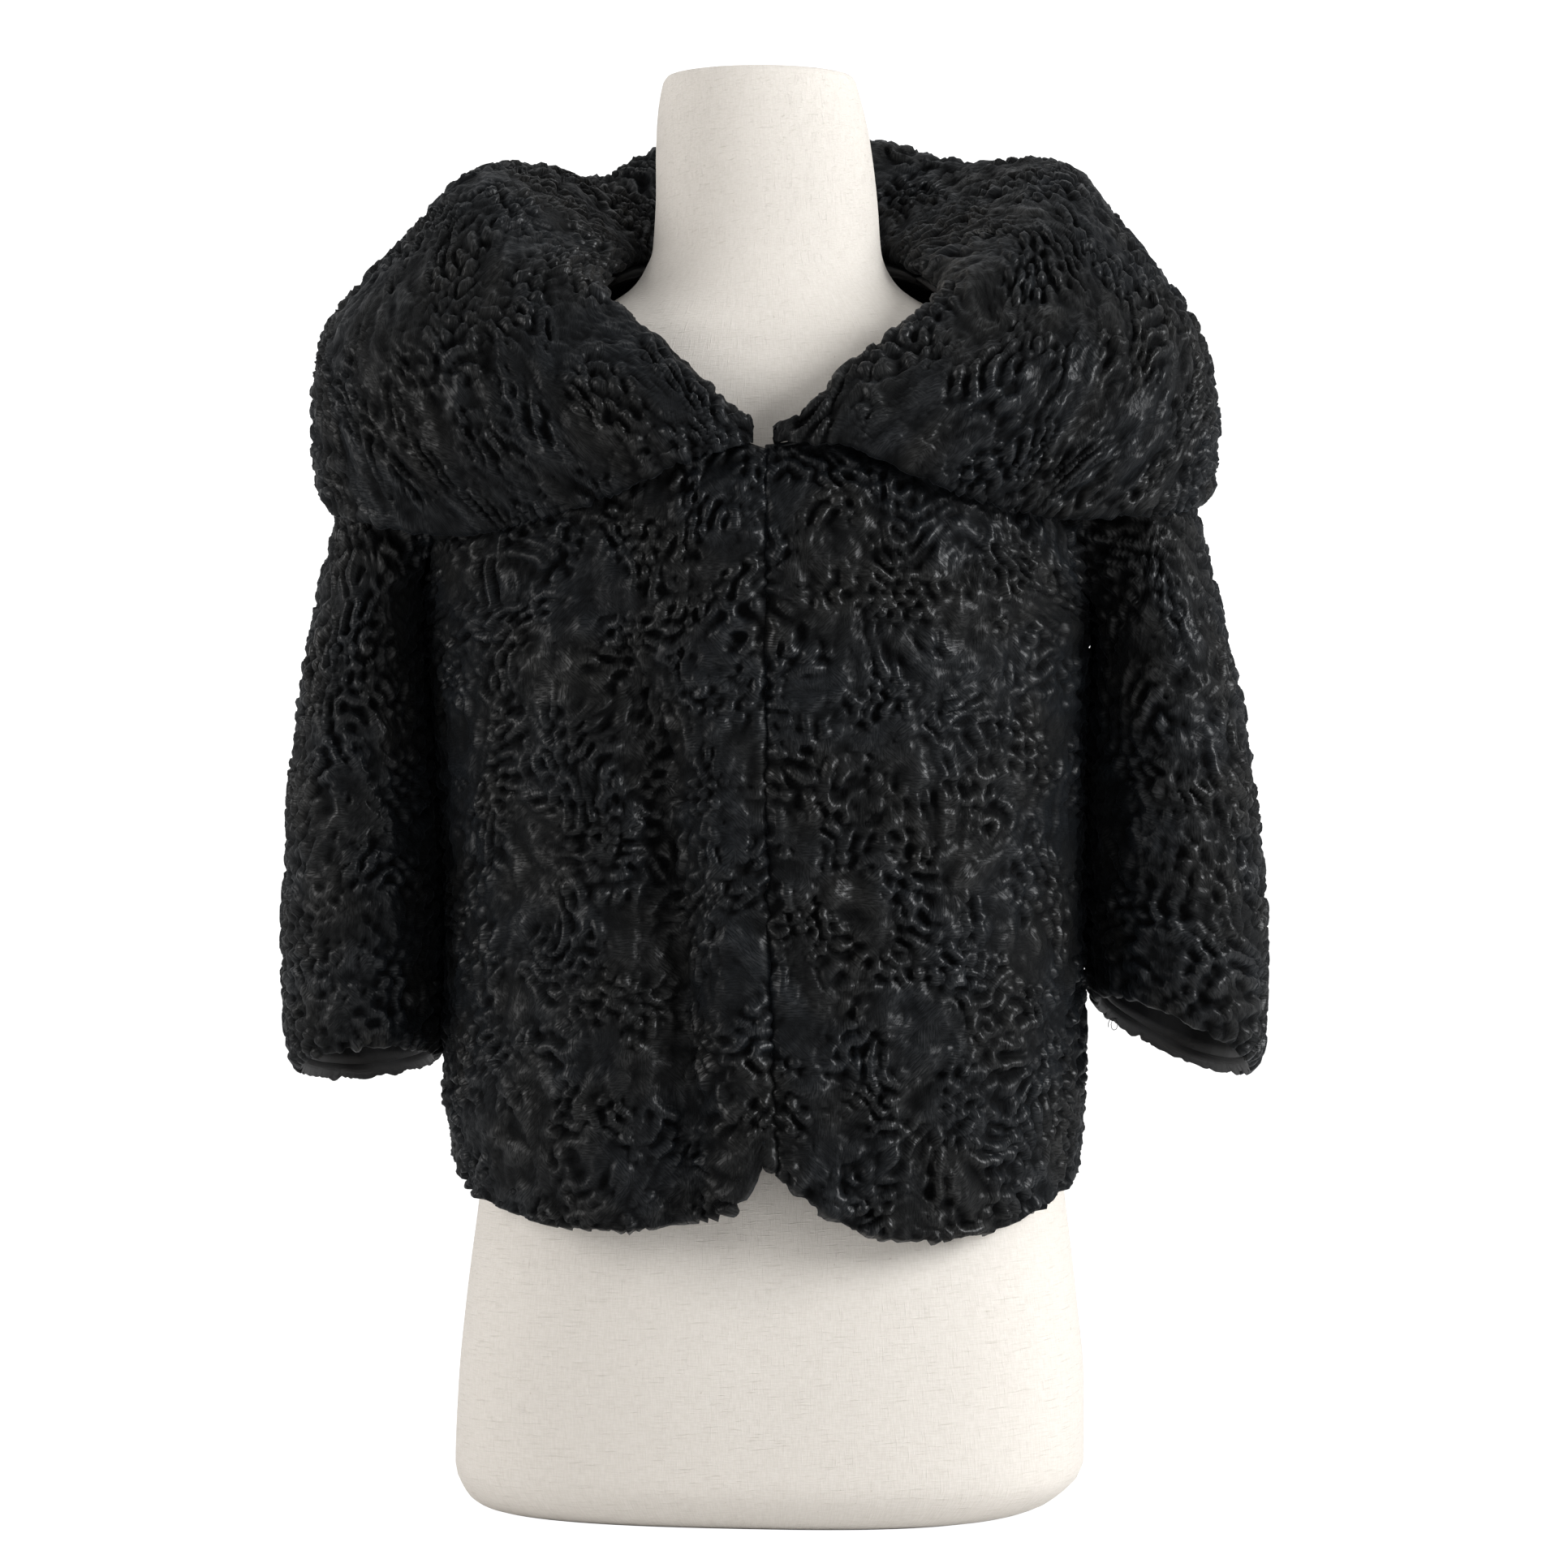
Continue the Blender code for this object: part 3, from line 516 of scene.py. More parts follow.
def buildForm():
    z = np.concatenate([[0, 0.7, 1.4, 2.4, 4, 6, 9, 13, 18], np.arange(24, 620, formValues["step"]),
                        np.arange(620, 720, 3), np.arange(720, 790, 6), [790, 792.5, 794, 795.2, 796.2, 797]])
    angle = np.linspace(-180, 180, formValues["columns"], endpoint=False)
    columns = {k: read(formShape, k, z) for k in formShape if k != "z"}
    turned = angle[None] + columns["turn"][:, None]
    r = oval(turned, *(columns[k][:, None] for k in ("left", "right", "front", "back", "round")))
    a = np.radians(angle)[None]
    grid = np.stack([columns["middle"][:, None] + r * np.sin(a), -r * np.cos(a),
                     np.broadcast_to(z[:, None], r.shape)], -1) / 1000
    rows, cols = grid.shape[:2]
    order, _, cells = gridCells(rows, cols)
    faces = cells.tolist()
    points = grid.reshape(-1, 3)
    for row, flip in ((0, True), (rows - 1, False)):
        centre = grid[row].mean(axis=0)
        ring = order[row]
        for share in (0.8, 0.4):
            points = np.concatenate([points, centre + (grid[row] - centre) * share])
            fresh = len(points) - cols + np.arange(cols)
            for j in range(cols):
                face = [ring[j], ring[(j + 1) % cols], fresh[(j + 1) % cols], fresh[j]]
                faces.append([int(k) for k in (face[::-1] if flip else face)])
            ring = fresh
        faces.append([int(k) for k in (ring[::-1] if flip else ring)])
    around = np.broadcast_to(np.radians(angle)[None] * 0.15, (rows, cols))
    lie = flatLie(around, grid[..., 2]).reshape(-1, 3)
    caps = points[rows * cols:]
    lie = np.concatenate([lie, flatLie(caps[:, 0], caps[:, 1])])
    obj = makeMesh("form", points, faces, ("canvas",), None, {"lie": ("FLOAT_VECTOR", lie)})
    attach(obj, "root")
    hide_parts("dress_form")
    print("form done")


# The jacket's body

bodyValues = {"axisX": -0.008, "round": 2.2, "cell": 1.7, "backCell": 1.85, "hidden": 4.0, "hemFade": 0.09,
              "seamGap": 0.0004, "levelRow": 360, "meetGap": 0.0009, "frontColumns": 152, "backColumns": 268}
bodyShape = {
    "z": [150, 175, 200, 230, 290, 340, 410, 477, 536, 580, 610, 630, 641, 649, 653.5, 658.5, 668.5,
          678.5, 688.5, 700, 712],
    "left": [168, 170, 173, 178, 178, 177, 182, 187, 194, 195, 193, 191, 188, 182, 173, 161.4, 136.3,
             109.3, 85.4, 77.6, 75],
    "right": [175, 176, 177.5, 179, 179, 179, 180, 182, 187, 190, 190, 189, 186, 181, 174, 163, 138.5,
              112, 88, 80, 76],
    "front": [149, 151, 152, 152, 151, 150, 151, 151, 146, 133, 122, 113, 107, 102, 99, 96, 89,
              82, 76, 70, 68],
    "back": [134, 132, 130, 126, 121, 118, 115, 114, 111, 106, 101, 97, 94, 92, 90, 88, 84,
             80, 75, 71, 69],
}
hemLine = {
    "angle": [0, 2, 5, 9, 14, 20, 28, 37, 47, 62, 76, 90, 130, 180],
    "left": [204, 194, 183, 177.5, 173.5, 170, 167.5, 168, 170, 176.5, 187, 196, 187, 180],
    "right": [204, 200, 193, 185.5, 176, 167.5, 162.5, 161, 164, 174.5, 187.5, 196, 187, 180],
}
neckLine = {
    "angle": [0, 2, 11, 21, 28, 36, 45, 55, 65, 75, 90, 110, 130, 150, 180],
    "left": [581.5, 582.5, 597, 615, 627, 639, 655, 669, 680, 686.5, 690.5, 696, 701, 705, 707],
    "right": [581.5, 582, 590, 609, 620, 633, 647, 664, 677, 685.5, 690.5, 696, 701, 705, 707],
}
armHole = {
    "z": [490, 500, 517, 538, 560, 582, 604, 624, 640, 652],
    "frontLeft": [90, 82.5, 75.8, 71.7, 70, 70, 71.4, 74.8, 80.5, 90],
    "frontRight": [90, 79, 70.5, 65.8, 63.5, 63.5, 65.5, 70, 77.5, 90],
    "backLeft": [90, 98, 105.5, 109.5, 111, 111, 109, 105.2, 99.5, 90],
    "backRight": [90, 98, 105.5, 109.5, 111, 111, 109, 105.2, 99.5, 90],
}
frontRows, backRows = (592, 688), (545, 705.5)  # the last close row, and the top
centreLine = {"z": [160, 200, 300, 400, 590], "x": [0.5, -0.5, -3.5, -5.5, -6]}
bodyFolds = [
    {"z": [160, 200, 280, 345, 400, 440, 486, 520], "angle": [-16, -16, -17, -20, -20.5, -24, -31, -35],
     "out": [-13, -15, -18, -18, -16, -12, -6, 0], "wide": [7, 7, 6.5, 6, 5.5, 5.5, 5, 5]},
    {"z": [160, 280, 400, 520], "angle": [-5, -7, -9, -12], "out": [2, 3, 2.5, 0], "wide": [5, 5, 5, 5]},
    {"z": [160, 280, 400, 520], "angle": [-34, -34, -36, -40], "out": [4, 4, 3, 0], "wide": [9, 9, 8, 8]},
    {"z": [160, 250, 345, 420, 480, 530], "angle": [18, 18, 19, 21, 25, 30],
     "out": [-2, -3, -4.5, -4, -3, 0], "wide": [5, 5, 4.5, 4.5, 5, 5]},
    {"z": [160, 250, 345, 420], "angle": [31, 30, 29, 29], "out": [-2, -3, -3.5, 0], "wide": [5, 5, 4, 4]},
    {"z": [160, 300, 450, 560], "angle": [152, 152, 154, 158], "out": [-6, -6, -4, 0], "wide": [8, 8, 8, 8]},
    {"z": [160, 300, 450, 560], "angle": [-148, -150, -153, -158], "out": [-6, -5, -4, 0],
     "wide": [9, 8, 8, 8]},
    {"z": [160, 300, 450, 560], "angle": [178, 178, 178, 178], "out": [4, 4, 3, 0], "wide": [10, 9, 9, 9]},
]
freeEdge = {"roll": 0.004, "fade": 0.004, "keep": 0.75}
meetingEdge = {"roll": 0.003, "fade": 0.005, "keep": 0.5}
seamEdge = {"roll": 0.002, "fade": 0.003, "keep": 0.35}
frontCurls = {"cells": (600, 400), "wave": 8.8, "seed": 5, "rounds": 3, "drive": 0.38, "knuckle": 0.1,
              "spread": 0.6, "warp": 3.4, "flat": 0.8, "floor": 0.85, "thin": 0.45, "lump": 0.13}
backCurls = dict(frontCurls, seed=11, cells=(600, 640))


def bodyRadius(angle, z):
    mm = np.asarray(z) * 1000
    r = oval(angle, read(bodyShape, "left", mm), read(bodyShape, "right", mm),
             read(bodyShape, "front", mm), read(bodyShape, "back", mm), bodyValues["round"])
    for fold in bodyFolds:
        off = (np.asarray(angle) - read(fold, "angle", mm) + 180) % 360 - 180
        r = r + read(fold, "out", mm) * np.exp(-((off / read(fold, "wide", mm)) ** 2))
    return r / 1000


def bodyPoint(angle, z):
    a, r = np.radians(angle), bodyRadius(angle, z)
    x, y = bodyValues["axisX"] + r * np.sin(a), -r * np.cos(a)
    return np.stack([x, y, np.broadcast_to(z, np.shape(r))], -1)


def bodyNormal(angle, z):
    turn = bodyPoint(angle + 1.0, z) - bodyPoint(angle - 1.0, z)
    rise = bodyPoint(angle, z + 0.002) - bodyPoint(angle, z - 0.002)
    return unit(np.cross(turn, rise))


def sideRead(table, angle):
    # a table by angle whose two columns are the two sides of the body
    off = np.abs((np.asarray(angle) + 180) % 360 - 180)
    left, right = read(table, "left", off, "angle"), read(table, "right", off, "angle")
    return np.where(np.sin(np.radians(angle)) < 0, left, right) / 1000


def neckAngle(side, zmm):
    fine = np.linspace(0, 180, 721)
    return np.interp(zmm, read(neckLine, side, fine, "angle"), fine)


def rowHeights(base, angle):
    lift = 1 - smooth((base - 0.165) / bodyValues["hemFade"])
    return base + (sideRead(hemLine, angle) - 0.165) * lift


def bends(low, high, t):
    # near an armhole only the columns beside it move, so that the others run straight up
    shift = np.zeros_like(t)
    for end, share in ((low, 1 - t), (high, t)):
        base = 90 * round(end / 90)
        if 0 < abs(end - base) < 30 and abs(base) != 0:
            shift += (end - base) * (share**2.2 - share)
    return shift


def bodyRows(fineTop, top, cell):
    # heights of the rows: fine where they show, wide under the collar; the cell count suits the inner skin
    hem = [160, 160.6, 161.6, 163]
    fine = np.linspace(164.5, fineTop, int((fineTop - 164.5) / cell))
    above = max(round((top - fineTop) / bodyValues["hidden"]), 6)
    spare = -(len(hem) + len(fine) + above - 1) % pelt["innerStep"]
    wide = np.linspace(fineTop, top, above + spare + 1)[1:]
    return np.concatenate([hem, fine, wide])


def bodyPanel(rows, ranges, places):
    angles = np.array([low + (high - low) * places + bends(low, high, places) for low, high in ranges])
    base = np.broadcast_to(rows[:, None] / 1000, angles.shape)
    z = rowHeights(base, angles)
    z = np.where(rows[:, None] <= rows[0], sideRead(hemLine, angles), z)
    z = z + pelt["hemLift"] * (1 - smooth((base - 0.160) / 0.02))
    face = bodyPoint(angles, z)
    up = lengths(face, 0)
    level = int(np.searchsorted(rows, bodyValues["levelRow"]))
    turns = np.arange(-180, 541.0)
    run = lengths(bodyPoint(turns, np.full(len(turns), bodyValues["levelRow"] / 1000))[None], 1)[0]
    return face, bodyNormal(angles, z), (np.interp(angles, turns, run), up - up[level])


def buildFront(side):
    sign = -1 if side == "left" else 1
    rows = bodyRows(*frontRows, bodyValues["cell"])
    x = read(centreLine, "x", rows) / 1000 + sign * bodyValues["meetGap"] - bodyValues["axisX"]
    low = sign * np.degrees(np.arctan2(x, read(bodyShape, "front", rows) / 1000))
    low = np.where(rows > neckLine[side][0], np.maximum(low, neckAngle(side, rows)), low)
    inHole = (rows >= armHole["z"][0]) & (rows <= armHole["z"][-1])
    high = np.where(inHole, read(armHole, "front" + side.title(), rows), 90.0)
    high = high - np.degrees(bodyValues["seamGap"] / bodyRadius(sign * high, rows / 1000))
    ranges = list(zip(sign * low, sign * high))
    if sign < 0:
        ranges = [(b, a) for a, b in ranges]
    places = spaced(0.25, bodyValues["frontColumns"], (0.004, 0.004))
    face, away, lie = bodyPanel(rows, ranges, places)
    middle, outside = ("last", "first") if sign < 0 else ("first", "last")
    name = "right" if side == "left" else "left"
    values = dict(frontCurls, seed=frontCurls["seed"] + (sign > 0))
    piece = furPiece("fur_front_" + name, "front_" + name, face, away, lie, values,
                     {"low": freeEdge, "high": seamEdge, middle: meetingEdge, outside: seamEdge})


def buildBack():
    rows = bodyRows(*backRows, bodyValues["backCell"])
    ranges = []
    for zmm in rows:
        ends = []
        for side in ("right", "left"):
            at = 90.0
            if armHole["z"][0] <= zmm <= armHole["z"][-1]:
                at = float(read(armHole, "back" + side.title(), zmm))
            if zmm > neckLine["right"][10]:
                at = float(neckAngle(side, zmm))
            ends.append(at + math.degrees(bodyValues["seamGap"] / float(bodyRadius(at, zmm / 1000))))
        ranges.append((ends[0], 360 - ends[1]))
    places = spaced(0.48, bodyValues["backColumns"], (0.004, 0.004))
    face, away, lie = bodyPanel(rows, ranges, places)
    piece = furPiece("fur_back", "back", face, away, lie, backCurls,
                     {"low": freeEdge, "high": seamEdge, "first": seamEdge, "last": seamEdge})


# The sleeves and their linings

sleeveValues = {"round": 2.15, "saddleFade": 0.2, "liningGap": 0.0013, "closer": 0.0022,
                "columns": 228, "rows": 240, "liningColumns": 72, "liningRows": 61}
sleeveShape = {
    "s": [0, 5, 12, 20, 30, 42, 56, 70, 84, 94, 100],
    "outLeft": [0, 203, 223, 236, 244.5, 257, 267, 273, 275.5, 274, 271],
    "outLeftZ": [0, 647, 628, 598, 557, 503, 446, 385, 315, 266, 240],
    "inLeft": [0, 197.6, 197.6, 196.8, 195.2, 191.8, 188.8, 187.2, 186.4, 187, 188],
    "inLeftZ": [0, 484, 471, 456, 437, 410, 375, 340, 300, 269, 249],
    "outRight": [0, 190, 211, 224, 231.5, 246, 260, 268, 272.5, 272, 268],
    "outRightZ": [0, 647, 628, 598, 563, 503, 440, 380, 318, 268, 240],
    "inRight": [0, 178.4, 178.2, 176.8, 175.2, 173.4, 172.3, 172, 172.2, 173.4, 175],
    "inRightZ": [0, 484, 471, 458, 440, 415, 383, 350, 318, 296, 280],
    "front": [0, 62, 66, 69, 71, 74, 77, 78, 78, 77, 76],
    "back": [0, 66, 71, 75, 77, 80, 83, 84, 84, 83, 82],
    "tilt": [0, 0, 0, 0, 0, 0, 0, 0, 1, 6, 12],
}
sleeveCurls = {"cells": (480, 396), "wave": 10.2, "seed": 21, "rounds": 3, "drive": 0.38, "knuckle": 0.1,
               "spread": 0.58, "warp": 3.0, "flat": 0.6, "floor": 0.75, "thin": 0.35, "lump": 0.12}
cuffEdge = {"roll": 0.004, "fade": 0.004, "keep": 0.7}


def sleeveGrid(side, s, turn):
    # rows of the sleeve's outside at the places s, from the armhole to the cuff, at these turns round it
    sign = -1 if side == "left" else 1
    top, low = armHole["z"][-1] / 1000, armHole["z"][0] / 1000
    z = top - (1 - np.cos(turn)) / 2 * (top - low)
    front = read(armHole, "front" + side.title(), z * 1000)
    back = read(armHole, "back" + side.title(), z * 1000)
    angle = sign * np.where(np.sin(turn) > 0, front, back)
    middle = bodyPoint(sign * 90.0, (top + low) / 2)
    edge = bodyPoint(angle, z)
    edge = edge + 0.0005 * unit(middle - edge) + 0.0004 * bodyNormal(angle, z)
    ends = [bodyPoint(sign * 90.0, top), bodyPoint(sign * 90.0, low)]
    start = {"out": abs(ends[0][0]), "outZ": top, "in": abs(ends[1][0]), "inZ": low,
             "front": -edge[:, 1].min(), "back": edge[:, 1].max(), "tilt": 0.0}
    size = {}
    for key, first in start.items():
        part = key.rstrip("Z")
        name = key if key in sleeveShape else part + side.title() + key[len(part):]
        filled = dict(sleeveShape)
        filled[name] = [first * 1000] + list(sleeveShape[name][1:])
        size[key] = read(filled, name, np.append(s, 0.0), "s") / 1000
    power = 2 / sleeveValues["round"]
    c = np.sign(np.cos(turn)) * np.abs(np.cos(turn)) ** power
    d = np.sign(np.sin(turn)) * np.abs(np.sin(turn)) ** power
    flat = np.zeros_like(size["out"])
    out = np.stack([sign * size["out"], flat, size["outZ"]], -1)[:, None]
    inn = np.stack([sign * size["in"], flat, size["inZ"]], -1)[:, None]
    ring = (out + inn) / 2 + c[None, :, None] * (out - inn) / 2
    depth = np.where(d > 0, size["front"][:, None], size["back"][:, None])
    ring[..., 1] = -d * depth
    ring[..., 2] += d * size["tilt"][:, None]
    fade = 1 - smooth(s / 100 / sleeveValues["saddleFade"])
    return ring[:-1] + (edge - ring[-1])[None] * fade[:, None, None]


def evenTurns(side, count):
    # turns that part the sleeve's section at its middle into equal lengths
    fine = np.linspace(0, 2 * np.pi, 1441)
    ring = sleeveGrid(side, np.array([60.0]), fine)
    run = lengths(ring, 1)[0]
    return np.interp(np.linspace(0, run[-1], count, endpoint=False), run, fine) - np.pi


def buildSleeve(side):
    sign = -1 if side == "left" else 1
    name = "right" if side == "left" else "left"
    turn = evenTurns(side, sleeveValues["columns"])
    s = spaced(0.43, sleeveValues["rows"], (0.003, 0.004)) * 100
    face = sleeveGrid(side, s, turn)
    away = normals(face, True) * sign
    outward = np.sign((away * (face - face.mean(axis=1, keepdims=True))).sum(-1).mean())
    away = away * outward
    shut = 1 - smooth((s - 97) / 3)[:, None, None]
    face = face + np.array([0, 0, pelt["hemLift"]]) * (1 - shut)
    beside = smooth((-np.cos(turn) - 0.55) / 0.35)[None]
    beside = beside * (smooth((s - 1.5) / 4) * (1 - smooth((s - 50) / 20)))[:, None]
    face[..., 0] -= sign * sleeveValues["closer"] * beside  # its curls close up to those of the body
    values = dict(sleeveCurls, seed=sleeveCurls["seed"] + (sign > 0))
    up = lengths(face, 0)
    around = np.broadcast_to(np.arange(len(turn)) / len(turn) * values["cells"][1] / 1000, up.shape)
    piece = furPiece("fur_sleeve_" + name, "sleeve_" + name, face, away, (around, up[-1:] - up), values,
                     {"low": seamEdge, "high": cuffEdge}, loop=True)
    buildLining(side, name, sign)


def buildLining(side, name, sign):
    turn = evenTurns(side, sleeveValues["liningColumns"])
    s = np.linspace(20, 98.2, sleeveValues["liningRows"])
    face = sleeveGrid(side, s, turn)
    away = normals(face, True)
    away = away * np.sign((away * (face - face.mean(axis=1, keepdims=True))).sum(-1).mean())
    ripple = 0.0006 * np.sin(turn * 9 + sign)[None] * smooth((s[:, None] - 20) / 40)
    deep = pelt["wall"] + sleeveValues["liningGap"] + 0.0004
    cover = face - away * deep
    inside = face - away * (deep + 0.0008 + np.abs(ripple))[..., None]
    rows, cols = cover.shape[:2]
    wide, quads = gridCells(rows, cols)[1:]
    facing = np.sign((normals(face, True) * away).sum(-1).mean())
    half = rows * cols
    front, back = (quads, quads[:, ::-1] + half) if facing > 0 else (quads[:, ::-1], quads + half)
    rims = []
    for row, flip in ((0, False), (rows - 1, True)):
        ring = wide[row]
        band = np.stack([ring[1:], ring[:-1], ring[:-1] + half, ring[1:] + half], -1)
        rims.append(band[:, ::-1] if flip == (facing > 0) else band)
    faces = np.concatenate([front, back] + rims).tolist()
    u = np.broadcast_to(turn[None] * 0.065, (rows, cols))
    lie = flatLie(u, lengths(face, 0)).reshape(-1, 3)
    obj = makeMesh("lining_sleeve_" + name, np.concatenate([cover.reshape(-1, 3), inside.reshape(-1, 3)]),
                   faces, ("lining",), None, {"lie": ("FLOAT_VECTOR", np.concatenate([lie, lie]))})
    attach(obj, "root")
    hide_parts("sleeve_lining_" + name)


# The collar

collarValues = {"wall": 0.008, "tipWall": 0.004, "tipFade": 16, "gap": 0.0014, "rows": 168, "columns": 360,
                "tips": (2.6, -2.0), "tipStart": 4.2, "backSeam": 0.0004}
collarCrest = {
    "angle": [1, 11, 21, 28, 36, 44.5, 51, 56.5, 62, 68, 79, 90, 103, 113, 124, 133, 139, 144, 151, 180],
    "rLeft": [131.5, 133, 127, 124, 127, 134, 143, 153, 159, 158, 154, 157, 155, 153, 153, 147, 139, 132,
              125, 116],
    "zLeft": [588, 606, 625, 639, 653, 665, 676, 683, 693, 705, 729, 741, 749, 753, 754, 751, 752, 759,
              769, 778],
    "rRight": [131.5, 138, 135, 133, 132, 138, 146, 151, 156, 160, 164, 170, 175, 172, 161, 149, 140, 133,
               125, 116],
    "zRight": [586, 599, 619, 632, 645, 657.5, 671, 681, 689, 701, 719, 735, 750, 756, 758, 761, 766, 770,
               775, 778],
}
collarFall = {
    "angle": [1, 15, 30, 45, 58, 68, 78, 90, 105, 114, 122, 150, 180],
    "rUpperLeft": [134.5, 142, 143, 157, 178, 184, 187, 197, 196, 195, 183, 152, 143],
    "zUpperLeft": [590.5, 611, 634, 651, 667, 686, 702, 705, 714, 720, 727, 752, 760],
    "rUpperRight": [134.5, 146, 147, 158, 175, 186, 196, 204, 204, 196, 184, 152, 143],
    "zUpperRight": [590.5, 605, 624, 645, 664, 680, 694, 704, 716, 722, 731, 753, 760],
    "rShoulderLeft": [135.5, 150, 160, 180, 210, 228, 237, 241.5, 240, 234, 215, 172, 158],
    "zShoulderLeft": [588.5, 600, 614, 627, 636, 642, 648, 652, 658, 664, 671, 690, 700],
    "rShoulderRight": [135.5, 150, 162, 182, 207, 224, 235, 238.5, 238, 234, 215, 172, 158],
    "zShoulderRight": [588.5, 598, 609, 625, 637, 645, 652, 656, 661, 667, 673, 690, 700],
    "rHangLeft": [136, 152, 166, 185, 212, 234, 245, 247, 247, 243, 224, 177, 161],
    "zHangLeft": [586.5, 587, 588, 587, 585, 588, 595, 602, 603, 603, 603, 610, 615],
    "rHangRight": [136, 152, 166, 186, 210, 234, 246, 249.5, 249, 245, 224, 177, 161],
    "zHangRight": [586.5, 590.5, 588, 589, 588, 592, 599, 606, 606, 605, 604, 610, 615],
    "rEdgeLeft": [136.5, 152, 160, 172, 192, 224, 241, 244.5, 245, 242, 220, 172, 157],
    "zEdgeLeft": [584.5, 575, 557, 545, 537, 543, 553, 562, 560, 555, 547, 541, 538],
    "rEdgeRight": [136.5, 152, 162, 174, 192, 224, 242.5, 247, 247, 243.5, 220, 172, 157],
    "zEdgeRight": [584.5, 583.5, 567, 553, 546, 549, 556, 563, 558, 553, 549, 541, 538],
}
collarCurls = {"cells": (420, 800), "wave": 8.6, "seed": 3, "rounds": 5, "drive": 0.36, "knuckle": 0.15,
               "spread": 0.55, "warp": 3.4, "flat": 0.85, "floor": 0.75, "thin": 0.5, "lump": 0.12}


def fanLie(face):
    # lays a fanned piece flat: its rows become arcs round one centre
    up, run = lengths(face, 0), lengths(face, 1)
    share = (run / run[:, -1:]).mean(axis=0)[None]
    spread, start = np.polyfit(up.mean(axis=1), run[:, -1], 1)
    turn, radius = (share - 0.5) * spread, up + start / spread
    return radius * np.sin(turn), radius * np.cos(turn)


def swell(angle):
    # 0 at the collar's tips, 1 where it has its full thickness
    off = np.abs((np.asarray(angle) + 180) % 360 - 180)
    return smooth((off - collarValues["tipStart"]) / collarValues["tipFade"])


def collarProfile(angle):
    # radius and height of the collar's middle surface at the angle, from the seam to the free edge
    off = abs((angle + 180) % 360 - 180)
    side = "Left" if math.sin(math.radians(angle)) < 0 else "Right"
    start = float(sideRead(neckLine, angle))
    r0 = float(bodyRadius(angle, start)) - pelt["wall"] / 2
    crest = [float(read(collarCrest, k + side, off, "angle")) / 1000 for k in "rz"]
    stand, lean, full = crest[1] - start, crest[0] - r0, float(swell(angle))
    knots = [(r0, start + collarValues["gap"] * (1 - full)), (r0 + 0.001, start + 0.004 + 0.0035 * full)]
    if lean > 0.02:
        knots.append((r0 + 0.3 * lean, start + max(0.5 * stand, 0.0128)))
    knots.append((crest[0], max(crest[1], start + 0.0074 + 0.0051 * full)))
    for part in ("Upper", "Shoulder", "Hang", "Edge"):
        knots.append(tuple(float(read(collarFall, k + part + side, off, "angle")) / 1000 for k in "rz"))
    return np.array(knots)


def evenLine(knots, places):
    # points at these shares of a smooth line through the knots
    pad = np.vstack([2 * knots[0] - knots[1], knots, 2 * knots[-1] - knots[-2]])
    t = np.linspace(0, 1, 24, endpoint=False)[:, None]
    fine = []
    for i in range(1, len(pad) - 2):
        p0, p1, p2, p3 = pad[i - 1:i + 3]
        chords = [np.sqrt(np.linalg.norm(b - a)) + 1e-9 for a, b in ((p0, p1), (p1, p2), (p2, p3))]
        m1 = chords[1] * ((p1 - p0) / chords[0] - (p2 - p0) / (chords[0] + chords[1])) + (p2 - p1)
        m2 = (p2 - p1) + chords[1] * ((p3 - p2) / chords[2] - (p3 - p1) / (chords[1] + chords[2]))
        fine.append((1 + 2 * t) * (1 - t) ** 2 * p1 + t * (1 - t) ** 2 * m1
                    + t * t * (3 - 2 * t) * p2 + t * t * (t - 1) * m2)
    fine = np.vstack(fine + [knots[-1:]])
    run = np.concatenate([[0], np.cumsum(np.linalg.norm(np.diff(fine, axis=0), axis=1))])
    at = places * run[-1]
    return np.stack([np.interp(at, run, fine[:, k]) for k in range(2)], -1)


def collarThick(angles):
    return collarValues["tipWall"] + (collarValues["wall"] - collarValues["tipWall"]) * swell(angles)


def collarMiddle(angles):
    places = spaced(0.28, collarValues["rows"], (0.002, 0.004))
    columns = []
    for angle, thick in zip(angles, collarThick(angles)):
        line = evenLine(collarProfile(angle), places)
        z = line[:, 1]
        least = bodyRadius(angle, z) + thick / 2 + 0.0006
        fall = np.arange(len(z)) >= np.argmax(z)
        r = np.where(fall, np.maximum(line[:, 0], least), line[:, 0])
        a = math.radians(angle)
        columns.append(np.stack([bodyValues["axisX"] + r * math.sin(a), -r * math.cos(a), z], -1))
    return np.stack(columns, 1)


def collarAngles(side):
    # angles from the tip to the centre back, spaced by the length of the collar's lower edge
    first = collarValues["tips"][0 if side == "Right" else 1]
    last = 180.0 if side == "Right" else -180.0
    fine = np.linspace(first, last, 361)
    edge = []
    for angle in fine:
        off = abs(angle)
        r = float(read(collarFall, "rHang" + side, off, "angle")) / 1000
        edge.append((r * math.sin(math.radians(angle)), -r * math.cos(math.radians(angle)), 0))
    run = lengths(np.array([edge]), 1)[0]
    places = spaced(run[-1], collarValues["columns"], (0.004, 0.0))
    return np.interp(places * run[-1], run, fine)


